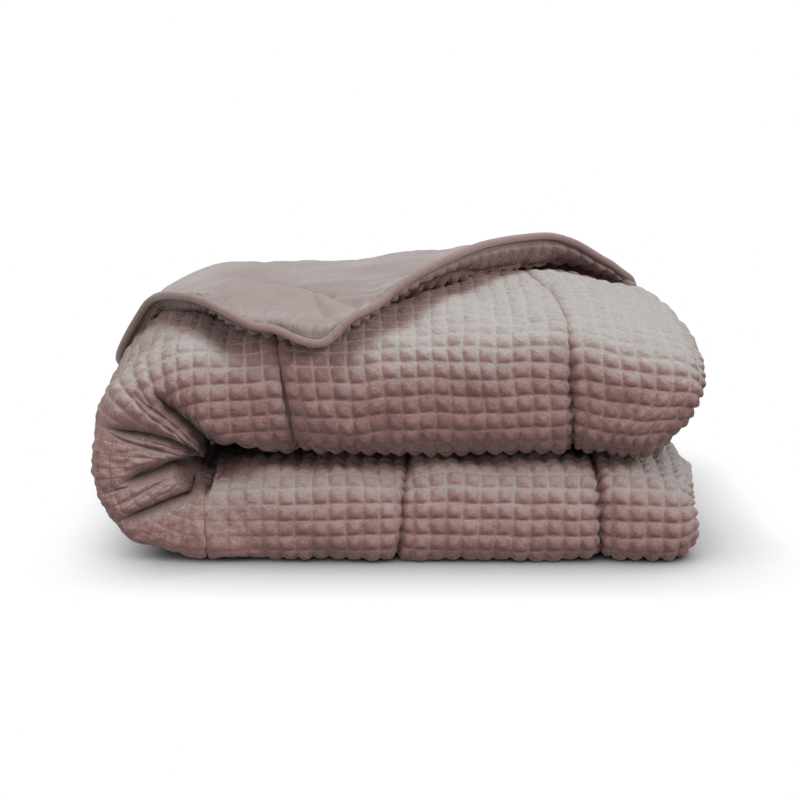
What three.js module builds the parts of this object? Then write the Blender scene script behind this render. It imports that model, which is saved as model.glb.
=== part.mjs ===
// A filled duvet, folded as it lies on a shelf: waffle plush outside, smooth cloth inside, piped all round.
// Both of its ends are turned in, it is folded along its length at the front, and folded in half at the left.
// One corner of the top layer is turned back over the stack, so that the smooth side of that corner shows.
// Units are millimetres. +X runs along the front fold, +Y to the open edges at the back, +Z up.

import * as THREE from "three";
import { mergeVertices } from "three/addons/utils/BufferGeometryUtils.js";

const { clamp, lerp, smoothstep } = THREE.MathUtils;

// Driving dimensions of the folded stack.
const LAYER = 28.5; // from one layer's middle to the next one's
const LOFT = 26; // thickness of a layer away from its edges and seams
const FLAP_LOFT = 17; // the same on the corner that is turned back
const ARM = 427; // straight length of each bundle, from the half fold to the turned-in ends
const LEAF = 352; // straight depth of a layer, from the front fold to its back edge
const TUCK_SHORT = 12; // by how much the turned-in ends fall short of the middle of the half fold
const HALF_FOLD_EYE = 4; // radius of the eye inside the half fold
const SEAM_EDGE = 5; // thickness where the two panels are sewn to the piping
const EDGE_SWELL = 34; // distance from the piping at which a layer reaches its loft
const CHANNEL_SEAM = 8; // thickness at a sewn channel seam
const CHANNEL_FLAT = 4; // half the width of a channel seam's flat
const CHANNEL_SWELL = 28; // distance from it at which a layer reaches its loft
const PIPING_RADIUS = 3.4;
const PIPING_GAP = 0.3; // between the piping and the sewn edge
const PIPING_SIDES = 6;
const SETTLING = 0.22; // how much thinner the lowest layers are than the top ones
const PRESSED = 2.5; // height of the round underside that the floor presses flat
const CORNER_RADIUS = 45; // of the flat duvet
const FLOOR_CORNER = 5; // fullness of the front fold's corner on the floor, where 2 is round
const INNER_CORNER = 3; // the same where the two bundles meet
const TOP_CORNER = 2.2;
const HALF_FOLD_CORNER = 2.7; // the same for the half fold's lower side, seen from the front
const FLAP_GAP = 1.5; // between the turned-back corner and the layer that it lies on
const FLAP_LIFTED = 70; // width of the strip along its edge that lifts off
const FLAP_SETTLING = 90; // distance past the roll at which it lies on the stack
const FLAP_BLEND = 30; // distance on both sides of the back edge over which its thickness changes

// Sizes that follow from them.
const BUNDLE_RADIUS = 2 * LAYER; // half the height of a bundle, which has four layers
const FOLD_RADIUS = BUNDLE_RADIUS + HALF_FOLD_EYE; // middle of a bundle in the half fold
const HALF_FOLD = Math.PI * FOLD_RADIUS;
const HAIRPIN = (Math.PI * LAYER) / 2; // length of a turned-in end's bend
const TUCK = ARM + HALF_FOLD / 2 - TUCK_SHORT; // straight length of the turned-in ends
const RUN = 2 * ARM + HALF_FOLD; // length of the outer layer, from one turned-in end to the other
const FLAT_LENGTH = RUN + 2 * (HAIRPIN + TUCK);
const FRONT_FOLD = Math.PI * BUNDLE_RADIUS; // length of the outer layer around the front fold
const STACK_HEIGHT = 2 * (BUNDLE_RADIUS + FOLD_RADIUS);

// How far each layer's back edge stands out past the plain depth, along the cloth's length (0 to 1).
const BACK_EDGES = [
  { at: 0.0, lower: -4, upper: 2 },
  { at: 0.12, lower: 5, upper: -3 },
  { at: 0.24, lower: -2, upper: 4 },
  { at: 0.36, lower: 6, upper: -5 },
  { at: 0.48, lower: 0, upper: 0 },
  { at: 0.6, lower: -6, upper: 2 },
  { at: 0.74, lower: 3, upper: 0 },
  { at: 0.88, lower: -5, upper: -4 },
  { at: 1.0, lower: 4, upper: -6 },
];

// The turned-back corner, by the distance from the middle of the half fold along the top layer:
// its reach past the back edge, the radius of its roll and how far its edge lifts off what it lies on.
const FLAP = [
  { at: -44, reach: 0, roll: 13, lift: 0 },
  { at: -36, reach: 7, roll: 13, lift: 0 },
  { at: -28, reach: 14, roll: 13, lift: 0 },
  { at: -20, reach: 21, roll: 13, lift: 0 },
  { at: -12, reach: 29, roll: 13, lift: 0 },
  { at: -4, reach: 38, roll: 13, lift: 0 },
  { at: 5, reach: 54, roll: 13, lift: 0 },
  { at: 14, reach: 105, roll: 13, lift: 0 },
  { at: 23, reach: 180, roll: 13, lift: 0 },
  { at: 33, reach: 256, roll: 13, lift: 1 },
  { at: 45, reach: 294, roll: 13, lift: 2 },
  { at: 57, reach: 312, roll: 13, lift: 8 },
  { at: 68, reach: 349, roll: 13, lift: 14 },
  { at: 81, reach: 387, roll: 13, lift: 16 },
  { at: 94, reach: 405, roll: 13, lift: 16 },
  { at: 113, reach: 420, roll: 13, lift: 14 },
  { at: 134, reach: 431, roll: 13, lift: 11 },
  { at: 165, reach: 436, roll: 13, lift: 8 },
  { at: 192, reach: 446, roll: 14, lift: 8 },
  { at: 204, reach: 445, roll: 15, lift: 8 },
  { at: 244, reach: 414, roll: 17, lift: 14 },
  { at: 267, reach: 392, roll: 18, lift: 21 },
  { at: 291, reach: 361, roll: 19, lift: 22 },
  { at: 316, reach: 325, roll: 19, lift: 21 },
  { at: 344, reach: 290, roll: 21, lift: 20 },
  { at: 372, reach: 252, roll: 21, lift: 22 },
  { at: 404, reach: 204, roll: 23, lift: 24 },
  { at: 433, reach: 160, roll: 26, lift: 24 },
  { at: 480, reach: 103, roll: 22, lift: 12 },
  { at: 497, reach: 66, roll: 18, lift: 8 },
  { at: 511, reach: 34, roll: 16, lift: 4 },
  { at: 528, reach: 0, roll: 16, lift: 4 },
];

// Height of the top of the stack against a flat one, by depth behind the front fold.
const CROWN = [
  { at: 0, rise: 0 },
  { at: 27, rise: -7 },
  { at: 42, rise: -8 },
  { at: 72, rise: 0 },
  { at: 130, rise: 6 },
  { at: 200, rise: 9 },
  { at: 300, rise: 4 },
  { at: 408, rise: -14 },
  { at: 440, rise: -16 },
];

// Where the top is lower than its crown: beside the flap, over the half fold and at the turned-in ends.
// Each drop comes in between two places along the top layer, counted from the half fold.
const DROPS = [
  { drop: 9, from: 260, to: 100 },
  { drop: 10, from: 5, to: -77 },
  { drop: 12, from: ARM - 60, to: ARM + 30 },
];

// Channel seams across the duvet, by the distance from the middle of the half fold along the outer layer.
const HALF_BEND = HALF_FOLD / 2;
const CHANNEL_SEAMS = [-HALF_BEND - 360, -HALF_BEND - 177, -HALF_BEND + 4, HALF_BEND + 67, HALF_BEND + 333];

// The cloth gathers in creases that spread from the eye of the half fold over its front.
const CREASES = [
  { at: -37, depth: 9 },
  { at: -19, depth: 8 },
  { at: 23, depth: 9 },
  { at: 45, depth: 8 },
];
const CREASE_WIDTH = 7;
const CREASE_FADE = 80; // length over which they run out below and above the front

// Reads a column of a table at a place between its rows, on a curve through all of them.
function read(rows, column, at) {
  const last = rows.length - 1;
  if (at <= rows[0].at) return rows[0][column];
  if (at >= rows[last].at) return rows[last][column];
  const k = rows.findIndex((row) => row.at > at) - 1;
  const slope = (a, b) => (rows[b][column] - rows[a][column]) / (rows[b].at - rows[a].at);
  const step = rows[k + 1].at - rows[k].at;
  const from = k === 0 ? 0 : slope(k - 1, k + 1);
  const to = k + 1 === last ? 0 : slope(k, k + 2);
  const f = (at - rows[k].at) / step;
  const low = rows[k][column] * (1 + 2 * f) * (1 - f) ** 2 + from * step * f * (1 - f) ** 2;
  const high = rows[k + 1][column] * (3 - 2 * f) * f ** 2 - to * step * (1 - f) * f ** 2;
  return low + high;
}

// Goes smoothly from 0 to 1 between two places, in either direction.
const ease = (at, from, to) => smoothstep((at - from) / (to - from), 0, 1);

// A quarter round from 0 at an edge to 1 at full thickness.
function swell(distance, width) {
  const f = 1 - clamp(distance / width, 0, 1);
  return Math.sqrt(1 - f * f);
}

// Distance from the middle of the half fold, of a place along the cloth's length.
const fromHalfFold = (along) => along - FLAT_LENGTH / 2;

// Only the outer layer has a turned-back corner, so its turned-in ends have none.
function flap(along) {
  const at = fromHalfFold(along);
  return {
    reach: Math.max(0, read(FLAP, "reach", at)),
    roll: read(FLAP, "roll", at),
    lift: read(FLAP, "lift", at),
  };
}

// Where the cloth starts and ends across its width, counted from where the front fold begins.
function lowerEdge(along) {
  return -(LEAF + read(BACK_EDGES, "lower", along / FLAT_LENGTH));
}

function leafEnd(along) {
  return FRONT_FOLD + LEAF + read(BACK_EDGES, "upper", along / FLAT_LENGTH);
}

function upperEdge(along) {
  return leafEnd(along) + flap(along).reach;
}

// How much the creases thin the cloth at a place in it.
function creasing(along, across) {
  const atFront = ease(across, -CREASE_FADE, 0) * ease(across, FRONT_FOLD + CREASE_FADE, FRONT_FOLD);
  const off = (at) => (fromHalfFold(along) - at) / CREASE_WIDTH;
  return atFront * CREASES.reduce((sum, { at, depth }) => sum + depth * Math.exp(-(off(at) ** 2)), 0);
}

// Thickness of the duvet at a place in the flat cloth.
function thickness(along, across) {
  const toEnd = Math.min(along, FLAT_LENGTH - along);
  const toSide = Math.min(across - lowerEdge(along), upperEdge(along) - across);
  const pastBack = ease(across - leafEnd(along), -FLAP_BLEND, FLAP_BLEND);
  const onFlap = pastBack * ease(flap(along).reach, 0, 2 * FLAP_BLEND);
  const loft = lerp(LOFT, FLAP_LOFT, onFlap);
  const fromMiddle = fromHalfFold(along);
  const toSeam = Math.min(...CHANNEL_SEAMS.map((seam) => Math.abs(fromMiddle - seam)));
  const channel = lerp(CHANNEL_SEAM / LOFT, 1, swell(toSeam - CHANNEL_FLAT, CHANNEL_SWELL));
  const edge = swell(toEnd, EDGE_SWELL) * swell(toSide, EDGE_SWELL);
  return SEAM_EDGE + (loft - SEAM_EDGE) * edge * lerp(channel, 1, onFlap) - creasing(along, across);
}

// First fold: each end is turned in under the outer layer. `out` is the distance off the layer's middle,
// towards the plush side. Gives the place along the outer layer and the depth inside it.
function turnEndsIn(along, out) {
  if (along > FLAT_LENGTH / 2) {
    const mirrored = turnEndsIn(FLAT_LENGTH - along, out);
    return { run: RUN - mirrored.run, inward: mirrored.inward };
  }
  if (along < TUCK) return { run: TUCK - along, inward: LAYER + out };
  if (along > TUCK + HAIRPIN) return { run: along - TUCK - HAIRPIN, inward: -out };
  const turn = (Math.PI * (along - TUCK)) / HAIRPIN;
  const radius = LAYER / 2 + out;
  return { run: -radius * Math.sin(turn), inward: LAYER / 2 + radius * Math.cos(turn) };
}

// Second fold: the long fold at the front. `off` is the distance off the bundle's middle,
// outwards in the half fold.
function foldFront(along, across, inward) {
  const radius = 1.5 * LAYER - inward;
  if (across < 0) return { depth: BUNDLE_RADIUS - across, off: -radius };
  if (across <= FRONT_FOLD) {
    const turn = (Math.PI * across) / FRONT_FOLD;
    return { depth: BUNDLE_RADIUS - radius * Math.sin(turn), off: -radius * Math.cos(turn) };
  }
  const past = across - leafEnd(along);
  if (past <= 0) return { depth: BUNDLE_RADIUS + across - FRONT_FOLD, off: radius };
  return turnFlapBack(along, across, past, -inward);
}

// The corner of the top layer rolls up at the back edge and lies forward over the stack.
function turnFlapBack(along, across, past, out) {
  const { roll, lift } = flap(along);
  const back = BUNDLE_RADIUS + leafEnd(along) - FRONT_FOLD;
  const turn = Math.min(past / roll, Math.PI);
  if (turn < Math.PI) {
    const radius = roll - out;
    return { depth: back + radius * Math.sin(turn), off: 1.5 * LAYER + roll - radius * Math.cos(turn) };
  }
  const forward = past - Math.PI * roll;
  const toEdge = upperEdge(along) - across;
  const onTop = 1.5 * LAYER + LOFT / 2 + FLAP_GAP + thickness(along, across) / 2;
  const lifted = onTop + lift * ease(toEdge, FLAP_LIFTED, 0);
  const off = lerp(1.5 * LAYER + 2 * roll, lifted, ease(forward, 0, FLAP_SETTLING));
  const overFront = Math.max(0, BUNDLE_RADIUS - back + forward) / BUNDLE_RADIUS;
  const radius = off - out;
  const depth = Math.max(back - forward, BUNDLE_RADIUS) - radius * Math.sin(overFront);
  return { depth, off: radius * Math.cos(overFront) };
}

// The front fold is fuller than a half round: nearly square where it stands on the floor, less so where the
// two bundles meet, and least at the top. `square` is the power of each corner's rounding.
function fillFrontCorners(run, { depth, off }) {
  if (depth >= BUNDLE_RADIUS) return { depth, off };
  const upper = ease(run, ARM, ARM + HALF_FOLD);
  const square = off < 0 ? INNER_CORNER : lerp(FLOOR_CORNER, TOP_CORNER, upper);
  const forward = (BUNDLE_RADIUS - depth) / Math.hypot(BUNDLE_RADIUS - depth, off);
  const aside = Math.abs(off) / Math.hypot(BUNDLE_RADIUS - depth, off);
  const grow = (forward ** square + aside ** square) ** (-1 / square);
  return { depth: BUNDLE_RADIUS - (BUNDLE_RADIUS - depth) * grow, off: off * grow };
}

// Third fold: the bundle is folded in half at the left.
function foldInHalf(run, depth, off) {
  const middle = BUNDLE_RADIUS + FOLD_RADIUS;
  const radius = FOLD_RADIUS + off;
  if (run <= ARM) return new THREE.Vector3(ARM - run, depth, middle - radius);
  if (run >= ARM + HALF_FOLD) return new THREE.Vector3(run - ARM - HALF_FOLD, depth, middle + radius);
  const turn = (run - ARM) / FOLD_RADIUS;
  const left = Math.sin(turn);
  const down = Math.cos(turn);
  const square = down > 0 ? HALF_FOLD_CORNER : 2;
  const full = radius * (left ** square + Math.abs(down) ** square) ** (-1 / square);
  return new THREE.Vector3(-full * left, depth, middle - full * down);
}

// The stack settles under its own weight: lower layers are flatter, the top is crowned.
function settle(point) {
  const height = point.z / STACK_HEIGHT;
  const drop = DROPS.reduce((sum, row) => sum + row.drop * ease(point.x, row.from, row.to), 0);
  const crown = read(CROWN, "rise", point.y) - drop;
  const flattened = point.z * (1 - SETTLING * (1 - Math.min(height, 1) ** 2));
  point.z = Math.max(PRESSED, flattened + crown * height * height);
  return point;
}

// The whole way from the flat duvet to the folded stack.
function fold(along, across, out) {
  const { run, inward } = turnEndsIn(along, out);
  const { depth, off } = fillFrontCorners(run, foldFront(along, across, inward));
  return settle(foldInHalf(run, depth, off));
}

// Distances from an edge at which the swelling of the cloth needs a row of faces.
const EDGE_ROWS = [0, 5, 13, 24];
const ROLL_ROWS = [-34, -17, 0, 10, 20, 30, 41]; // from before the back edge through the roll
const FLAP_ROWS = 4; // on the part that lies forward over the stack
const SEAM_ROWS = [-18, -CHANNEL_FLAT, CHANNEL_FLAT, 18];
const CLEAR = 9; // other rows keep this far off a seam's rows
const NEXT = 26; // from the last edge row to the first of the evenly spread ones

function spread(from, to, count) {
  return Array.from({ length: count }, (_, k) => lerp(from, to, k / count));
}

// Rows along the cloth: the turned-in end, its bend, the straight layer with its seams, the half fold.
// The upper half follows the rows of the turned-back corner.
function rowsAlong() {
  const half = FLAT_LENGTH / 2;
  const bend = TUCK + HAIRPIN;
  const turnedIn = [
    ...EDGE_ROWS,
    ...spread(EDGE_ROWS.at(-1) + NEXT, HALF_BEND, 3),
    ...spread(HALF_BEND, TUCK, 6),
    ...spread(TUCK, bend, 5),
  ];
  const seamRows = CHANNEL_SEAMS.flatMap((seam) => SEAM_ROWS.map((row) => half + seam + row));
  const plain = [
    ...spread(bend, bend + ARM, 5),
    ...spread(bend + ARM, half + FLAP[0].at, 3),
    ...FLAP.map(({ at }) => half + at).filter((at) => at < FLAT_LENGTH - bend - CLEAR),
    FLAT_LENGTH - bend,
  ];
  const clear = (at) => seamRows.every((row) => Math.abs(row - at) > CLEAR);
  const rows = [...turnedIn, ...seamRows, ...plain.filter(clear), ...turnedIn.map((at) => FLAT_LENGTH - at)];
  return rows.sort((a, b) => a - b);
}

// Rows across the cloth at one place along it. There are as many where the corner isn't turned back:
// all past the last whole row of the roll are then spaced evenly.
function rowsAcross(along) {
  const low = lowerEdge(along);
  const back = leafEnd(along);
  const { reach } = flap(along);
  const flatEnd = reach - EDGE_ROWS.at(-1) - CLEAR;
  const rolled = [
    ...ROLL_ROWS,
    ...spread(ROLL_ROWS.at(-1), flatEnd, FLAP_ROWS + 1).slice(1),
    ...EDGE_ROWS.map((d) => reach - d).reverse(),
  ];
  const whole = Math.max(ROLL_ROWS.filter((row) => row < flatEnd - CLEAR).length, 1);
  const rest = rolled.length - whole;
  const even = Array.from({ length: rest }, (_, k) => lerp(ROLL_ROWS[whole - 1], reach, (k + 1) / rest));
  const past = whole === ROLL_ROWS.length ? rolled : [...ROLL_ROWS.slice(0, whole), ...even];
  return [
    ...EDGE_ROWS.map((d) => low + d),
    ...spread(low + EDGE_ROWS.at(-1) + NEXT, 0, 3),
    ...spread(0, FRONT_FOLD, 7),
    ...spread(FRONT_FOLD, back + ROLL_ROWS[0], 4),
    ...past.map((row) => back + row),
  ];
}

// Rounds the flat cloth's corners, by drawing the rows near each end in.
function roundCorner(along, across) {
  const toSide = Math.min(across - lowerEdge(along), upperEdge(along) - across);
  const inside = Math.max(0, CORNER_RADIUS - toSide);
  const inset = CORNER_RADIUS - Math.sqrt(CORNER_RADIUS ** 2 - inside ** 2);
  const toEnd = Math.min(along, FLAT_LENGTH - along);
  const shift = inset * ease(toEnd, 3 * CORNER_RADIUS, 0);
  return along < FLAT_LENGTH / 2 ? along + shift : along - shift;
}

const ALONG = rowsAlong();
const GRID = ALONG.map((along) => rowsAcross(along).map((across) => [roundCorner(along, across), across]));

// Merges a shaped geometry's shared points, so that it is one closed body.
function closed(geometry) {
  geometry.deleteAttribute("normal");
  geometry.deleteAttribute("uv");
  const merged = mergeVertices(geometry, 1e-3);
  merged.computeVertexNormals();
  return merged;
}

// The filled cloth: a box of one cell per row, each point of it put at its place in the folded stack.
function duvet() {
  const countAlong = ALONG.length - 1;
  const countAcross = GRID[0].length - 1;
  const geometry = new THREE.BoxGeometry(1, 1, 1, countAlong, countAcross, 1);
  const points = geometry.getAttribute("position");
  for (let i = 0; i < points.count; i += 1) {
    const column = Math.round((points.getX(i) + 0.5) * countAlong);
    const row = Math.round((points.getY(i) + 0.5) * countAcross);
    const [along, across] = GRID[column][row];
    const out = (Math.sign(points.getZ(i)) * thickness(along, across)) / 2;
    const { x, y, z } = fold(along, across, out);
    points.setXYZ(i, x, y, z);
  }
  return closed(geometry);
}

// The places of the sewn edge in order, once round the cloth, from the middle of one turned-in end.
function edgeRoute() {
  const lastAlong = ALONG.length - 1;
  const lastAcross = GRID[0].length - 1;
  const lowerSide = GRID.map((column) => column[0]);
  const upperSide = GRID.map((column) => column[lastAcross]).reverse();
  const farEnd = GRID[lastAlong].slice(1, lastAcross);
  const nearEnd = GRID[0].slice(1, lastAcross).reverse();
  const middle = Math.floor(nearEnd.length / 2);
  return [
    ...nearEnd.slice(middle),
    ...lowerSide,
    ...farEnd,
    ...upperSide,
    ...nearEnd.slice(0, middle + 1),
  ];
}

// The piping follows the sewn edge all round, just outside it. Where the edge turns, the piping's section is
// stretched to keep its thickness, up to a limit.
const MOST_STRETCH = 1 / 0.6;

function piping() {
  const route = edgeRoute();
  const steps = route.length - 1;
  const edge = route.map(([along, across]) => fold(along, across, 0));
  const frames = route.map(([along, across], k) => {
    const before = k === 0 ? steps - 1 : k - 1;
    const after = k === steps ? 1 : k + 1;
    const toHere = edge[k].clone().sub(edge[before]).normalize();
    const onward = edge[after].clone().sub(edge[k]).normalize();
    const tangent = toHere.clone().add(onward).normalize();
    const miter = Math.min(MOST_STRETCH, 1 / tangent.dot(onward));
    const [fromAlong, fromAcross] = route[before];
    const [toAlong, toAcross] = route[after];
    const flat = Math.hypot(toAlong - fromAlong, toAcross - fromAcross);
    const outAlong = (toAcross - fromAcross) / flat;
    const outAcross = -(toAlong - fromAlong) / flat;
    const outward = fold(along + outAlong, across + outAcross, 0).sub(edge[k]);
    outward.addScaledVector(tangent, -outward.dot(tangent)).normalize();
    const side = new THREE.Vector3().crossVectors(tangent, outward);
    const centre = edge[k].clone().addScaledVector(outward, (PIPING_RADIUS + PIPING_GAP) * miter);
    return { centre, tangent, outward, side, miter };
  });
  frames[0].centre.addScaledVector(frames[0].tangent, PIPING_GAP / 2);
  frames[steps].centre.addScaledVector(frames[steps].tangent, -PIPING_GAP / 2);
  const geometry = new THREE.CylinderGeometry(1, 1, 1, PIPING_SIDES, steps);
  const points = geometry.getAttribute("position");
  for (let i = 0; i < points.count; i += 1) {
    const frame = frames[Math.round((0.5 - points.getY(i)) * steps)];
    const place = frame.centre.clone();
    place.addScaledVector(frame.outward, PIPING_RADIUS * frame.miter * points.getX(i));
    place.addScaledVector(frame.side, PIPING_RADIUS * points.getZ(i));
    points.setXYZ(i, place.x, place.y, place.z);
  }
  return closed(geometry);
}

function piece(name, geometry, color) {
  const material = new THREE.MeshStandardMaterial({ color, roughness: 0.95, metalness: 0 });
  const mesh = new THREE.Mesh(geometry, material);
  mesh.name = name;
  return mesh;
}

const stack = new THREE.Group();
stack.add(piece("duvet", duvet(), 0xa48d89));
stack.add(piece("piping", piping(), 0x866f6b));

// The origin is under the middle of the stack.
const extent = new THREE.Box3().setFromObject(stack);
const centre = extent.getCenter(new THREE.Vector3());
stack.position.set(-centre.x, -centre.y, -extent.min.z);

export default stack;
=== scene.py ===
"""A folded duvet: waffle plush outside, smooth brushed cloth inside, piped all round.

The cloth is worked out in millimetres, as a flat duvet whose every place has a distance along its length
and across its width. It is then folded as the frame's solid is: ends turned in, long fold at the front,
folded in half at the left, and one corner of the top layer turned back. Everything in Blender is in metres.
"""

import bpy
import numpy as np
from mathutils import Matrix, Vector


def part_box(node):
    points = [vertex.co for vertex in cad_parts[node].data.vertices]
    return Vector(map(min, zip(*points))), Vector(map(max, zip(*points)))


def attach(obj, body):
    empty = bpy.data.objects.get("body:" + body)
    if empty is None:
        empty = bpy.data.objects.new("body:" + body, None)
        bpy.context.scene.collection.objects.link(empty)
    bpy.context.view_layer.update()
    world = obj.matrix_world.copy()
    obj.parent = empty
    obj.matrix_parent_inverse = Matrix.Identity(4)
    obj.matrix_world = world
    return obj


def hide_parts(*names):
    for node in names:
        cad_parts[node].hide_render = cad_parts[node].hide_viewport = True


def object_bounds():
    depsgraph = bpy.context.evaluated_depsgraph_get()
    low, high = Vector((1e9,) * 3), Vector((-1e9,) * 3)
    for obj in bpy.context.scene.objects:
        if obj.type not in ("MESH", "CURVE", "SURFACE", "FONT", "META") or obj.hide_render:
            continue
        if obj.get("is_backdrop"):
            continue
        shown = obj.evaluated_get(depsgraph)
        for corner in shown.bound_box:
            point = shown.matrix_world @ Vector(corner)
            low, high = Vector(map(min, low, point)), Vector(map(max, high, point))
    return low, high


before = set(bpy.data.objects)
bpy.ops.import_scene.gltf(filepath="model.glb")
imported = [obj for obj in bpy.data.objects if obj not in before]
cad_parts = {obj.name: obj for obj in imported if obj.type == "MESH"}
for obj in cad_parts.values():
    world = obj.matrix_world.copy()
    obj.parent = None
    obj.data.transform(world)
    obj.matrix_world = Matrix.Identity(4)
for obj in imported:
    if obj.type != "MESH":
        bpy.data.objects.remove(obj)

bl_info = {
    "name": "Folded duvet",
    "version": (1, 0, 0),
    "blender": (4, 5, 0),
    "location": "3D View > Sidebar > Duvet",
    "description": "A folded waffle plush duvet with piping, its stage and its camera",
    "category": "Add Mesh",
}

MM = 0.001

# Driving dimensions of the folded stack, in millimetres.
LAYER = 28.5  # from one layer's middle to the next one's
LOFT = 26.0  # thickness of the cloth away from its edges and seams
FLAP_LOFT = 17.0  # the same, on the turned-back corner
ARM = 427.0  # length of the straight layers, from the half fold to where the ends turn in
LEAF = 352.0  # depth of the straight layers, from the front fold to the back edges
TUCK_SHORT = 12.0  # how far the turned-in ends stop short of the middle of the half fold
HALF_FOLD_EYE = 4.0  # radius of the space left inside the half fold
SEAM_EDGE = 5.0  # thickness at the sewn edge
EDGE_SWELL = 34.0  # distance over which it grows to its full thickness
CHANNEL_SEAM = 7.0  # how much of the loft is left at a channel seam
CHANNEL_FLAT = 1.0
CHANNEL_SWELL = 26.0
PIPING_RADIUS = 3.8
PIPING_GAP = 0.3
SETTLING = 0.22  # how much flatter the lowest layers are
PRESSED = 2.5  # the underside is flat up to this height
CORNER_RADIUS = 45.0  # of the flat cloth's corners
FLAP_GAP = 1.5  # between the stack and the turned-back corner
FLAP_SETTLING = 90.0  # distance past its roll over which the corner comes down onto the stack
FLAP_BLEND = 30.0
STACK_GAP = 112.0  # height of the gap between the bundles, at the right end
END_CORNER = 58.0  # height over that gap, up to which the upper bundle's end is drawn in
END_ROUNDING = 24.0  # how far it is drawn in at the gap
END_SWELL = 7.0  # how far it stands out above that corner
END_SWELL_PLACE = 12.0
END_SWELL_WIDTH = 30.0
END_START = (ARM - 90, ARM + 24)

# How square the rounded folds are: 2 is round, and more is squarer.
FLOOR_CORNER = 5.0
INNER_CORNER = 3.0
TOP_CORNER = 2.2
HALF_FOLD_CORNERS = (2.4, 2.03)  # below and above

# Sizes that follow from them.
BUNDLE_RADIUS = 2 * LAYER
FOLD_RADIUS = BUNDLE_RADIUS + HALF_FOLD_EYE
HALF_FOLD = np.pi * FOLD_RADIUS
HALF_BEND = HALF_FOLD / 2
HAIRPIN = np.pi * LAYER / 2
TUCK = ARM + HALF_BEND - TUCK_SHORT
RUN = 2 * ARM + HALF_FOLD
FLAT_LENGTH = RUN + 2 * (HAIRPIN + TUCK)
FRONT_FOLD = np.pi * BUNDLE_RADIUS
STACK_HEIGHT = 2 * (BUNDLE_RADIUS + FOLD_RADIUS)
OUTER_RADIUS = FOLD_RADIUS + 1.5 * LAYER + LOFT / 2  # of the half fold's outside
OUTER_HAIRPIN = np.pi * (LAYER + LOFT) / 2  # a turned-in end's bend, along its outside


def table(names, *rows):
    """Rows of numbers as one array for each named column."""
    return dict(zip(names.split(), np.array(rows, float).T))


# How far each layer's back edge stands out past the plain depth, along the cloth's length (0 to 1).
BACK_EDGES = table(
    "at lower upper",
    (0.0, -4, 2),
    (0.12, 5, -3),
    (0.24, -2, 4),
    (0.36, 6, -5),
    (0.48, 0, 0),
    (0.6, -6, 2),
    (0.74, 3, 0),
    (0.88, -5, -4),
    (1.0, 4, -6),
)

# The turned-back corner, by the distance from the middle of the half fold along the top layer:
# its reach past the back edge, the radius of its roll, how far its edge lifts off what it lies on,
# and how far behind its edge that lift begins.
FLAP = table(
    "at reach roll lift curl",
    (-44, 0, 13, 0, 70),
    (-36, 7, 13, 0, 70),
    (-28, 14, 13, 1, 70),
    (-20, 21, 13, 1, 70),
    (-12, 29, 13, 1, 70),
    (-4, 38, 13, 1, 70),
    (5, 54, 13, -2, 70),
    (14, 100, 13, -4, 70),
    (23, 170, 13, -5, 70),
    (33, 244, 13, -5, 70),
    (45, 284, 13, -3, 70),
    (57, 303, 14, 2, 60),
    (68, 324, 15, 9, 50),
    (76, 360, 15, 13, 44),
    (84, 390, 15, 14, 40),
    (95, 408, 15, 14, 40),
    (106, 417, 15, 12, 40),
    (118, 428, 14, 9, 44),
    (138, 436, 13, 6, 50),
    (160, 438, 13, 4, 60),
    (184, 444, 13, 3, 70),
    (200, 449, 14, 3, 70),
    (209, 450, 15, 3, 70),
    (220, 446, 16, 4, 70),
    (233, 435, 17, 6, 70),
    (244, 424, 17, 8, 60),
    (268, 408, 18, 13, 56),
    (294, 384, 19, 16, 56),
    (318, 350, 19, 17, 50),
    (344, 309, 21, 16, 44),
    (372, 256, 21, 16, 40),
    (404, 206, 22, 17, 34),
    (433, 164, 22, 19, 30),
    (460, 138, 22, 20, 30),
    (480, 118, 21, 20, 30),
    (497, 100, 20, 19, 30),
    (511, 80, 20, 18, 30),
    (523, 58, 19, 14, 30),
    (535, 36, 17, 9, 30),
    (547, 14, 15, 4, 30),
    (556, 0, 15, 4, 30),
)

# Height of the top of the stack against a flat one, by depth behind the front fold.
CROWN = table(
    "at rise",
    (0, 0),
    (27, -7),
    (42, -8),
    (72, 0),
    (130, 6),
    (200, 9),
    (300, 4),
    (408, -14),
    (440, -16),
)

# How much lower than its crown the top is, from one place along the top layer to another.
DROPS = ((9, 260, 100), (10, 5, -77), (12, ARM - 60, ARM + 30), (10, ARM - 92, ARM - 22))

# Channel seams across the duvet, by the distance from the middle of the half fold.
CHANNEL_SEAMS = (-HALF_BEND - 360, -HALF_BEND - 177, -HALF_BEND + 4, HALF_BEND + 67, HALF_BEND + 333)

# How a channel seam strays to the side, by the distance across from where the front fold begins.
STRAYING = table(
    "at first second third fourth fifth",
    (-60, 0, -8, 0, 22, 8),
    (0, -1, -7, 0, 20, 7),
    (60, -3, -3, 3, 11, 4),
    (120, -5, -1, -2, 1, 0),
    (180, -6, 8, 0, -4, -2),
    (300, 0, 0, 0, -6, -14),
    (440, 0, 0, 0, 0, -28),
)

# Creases that spread over the front from the eye of the half fold. `near` and `far` are their distances along
# the cloth from its middle, at 25 and 100 mm from the eye, and their curve is drawn towards `middle` between
# these. `start` and `stop` are distances from the eye.
CREASES = table(
    "near middle far depth width start stop",
    (-66, -46, -41, 22, 17, 12, 108),
    (-20, -27, -30, 6, 8, 40, 100),
    (0, -10, -18, 26, 19, 8, 88),
    (-14, -17, -19, 6, 8, 66, 108),
    (26, 21, 24, 7, 8, 34, 108),
    (50, 34, 25, 17, 13, 12, 106),
    (66, 56, 50, 8, 8, 50, 100),
    (86, 62, 62, 25, 20, 8, 90),
)

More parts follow.
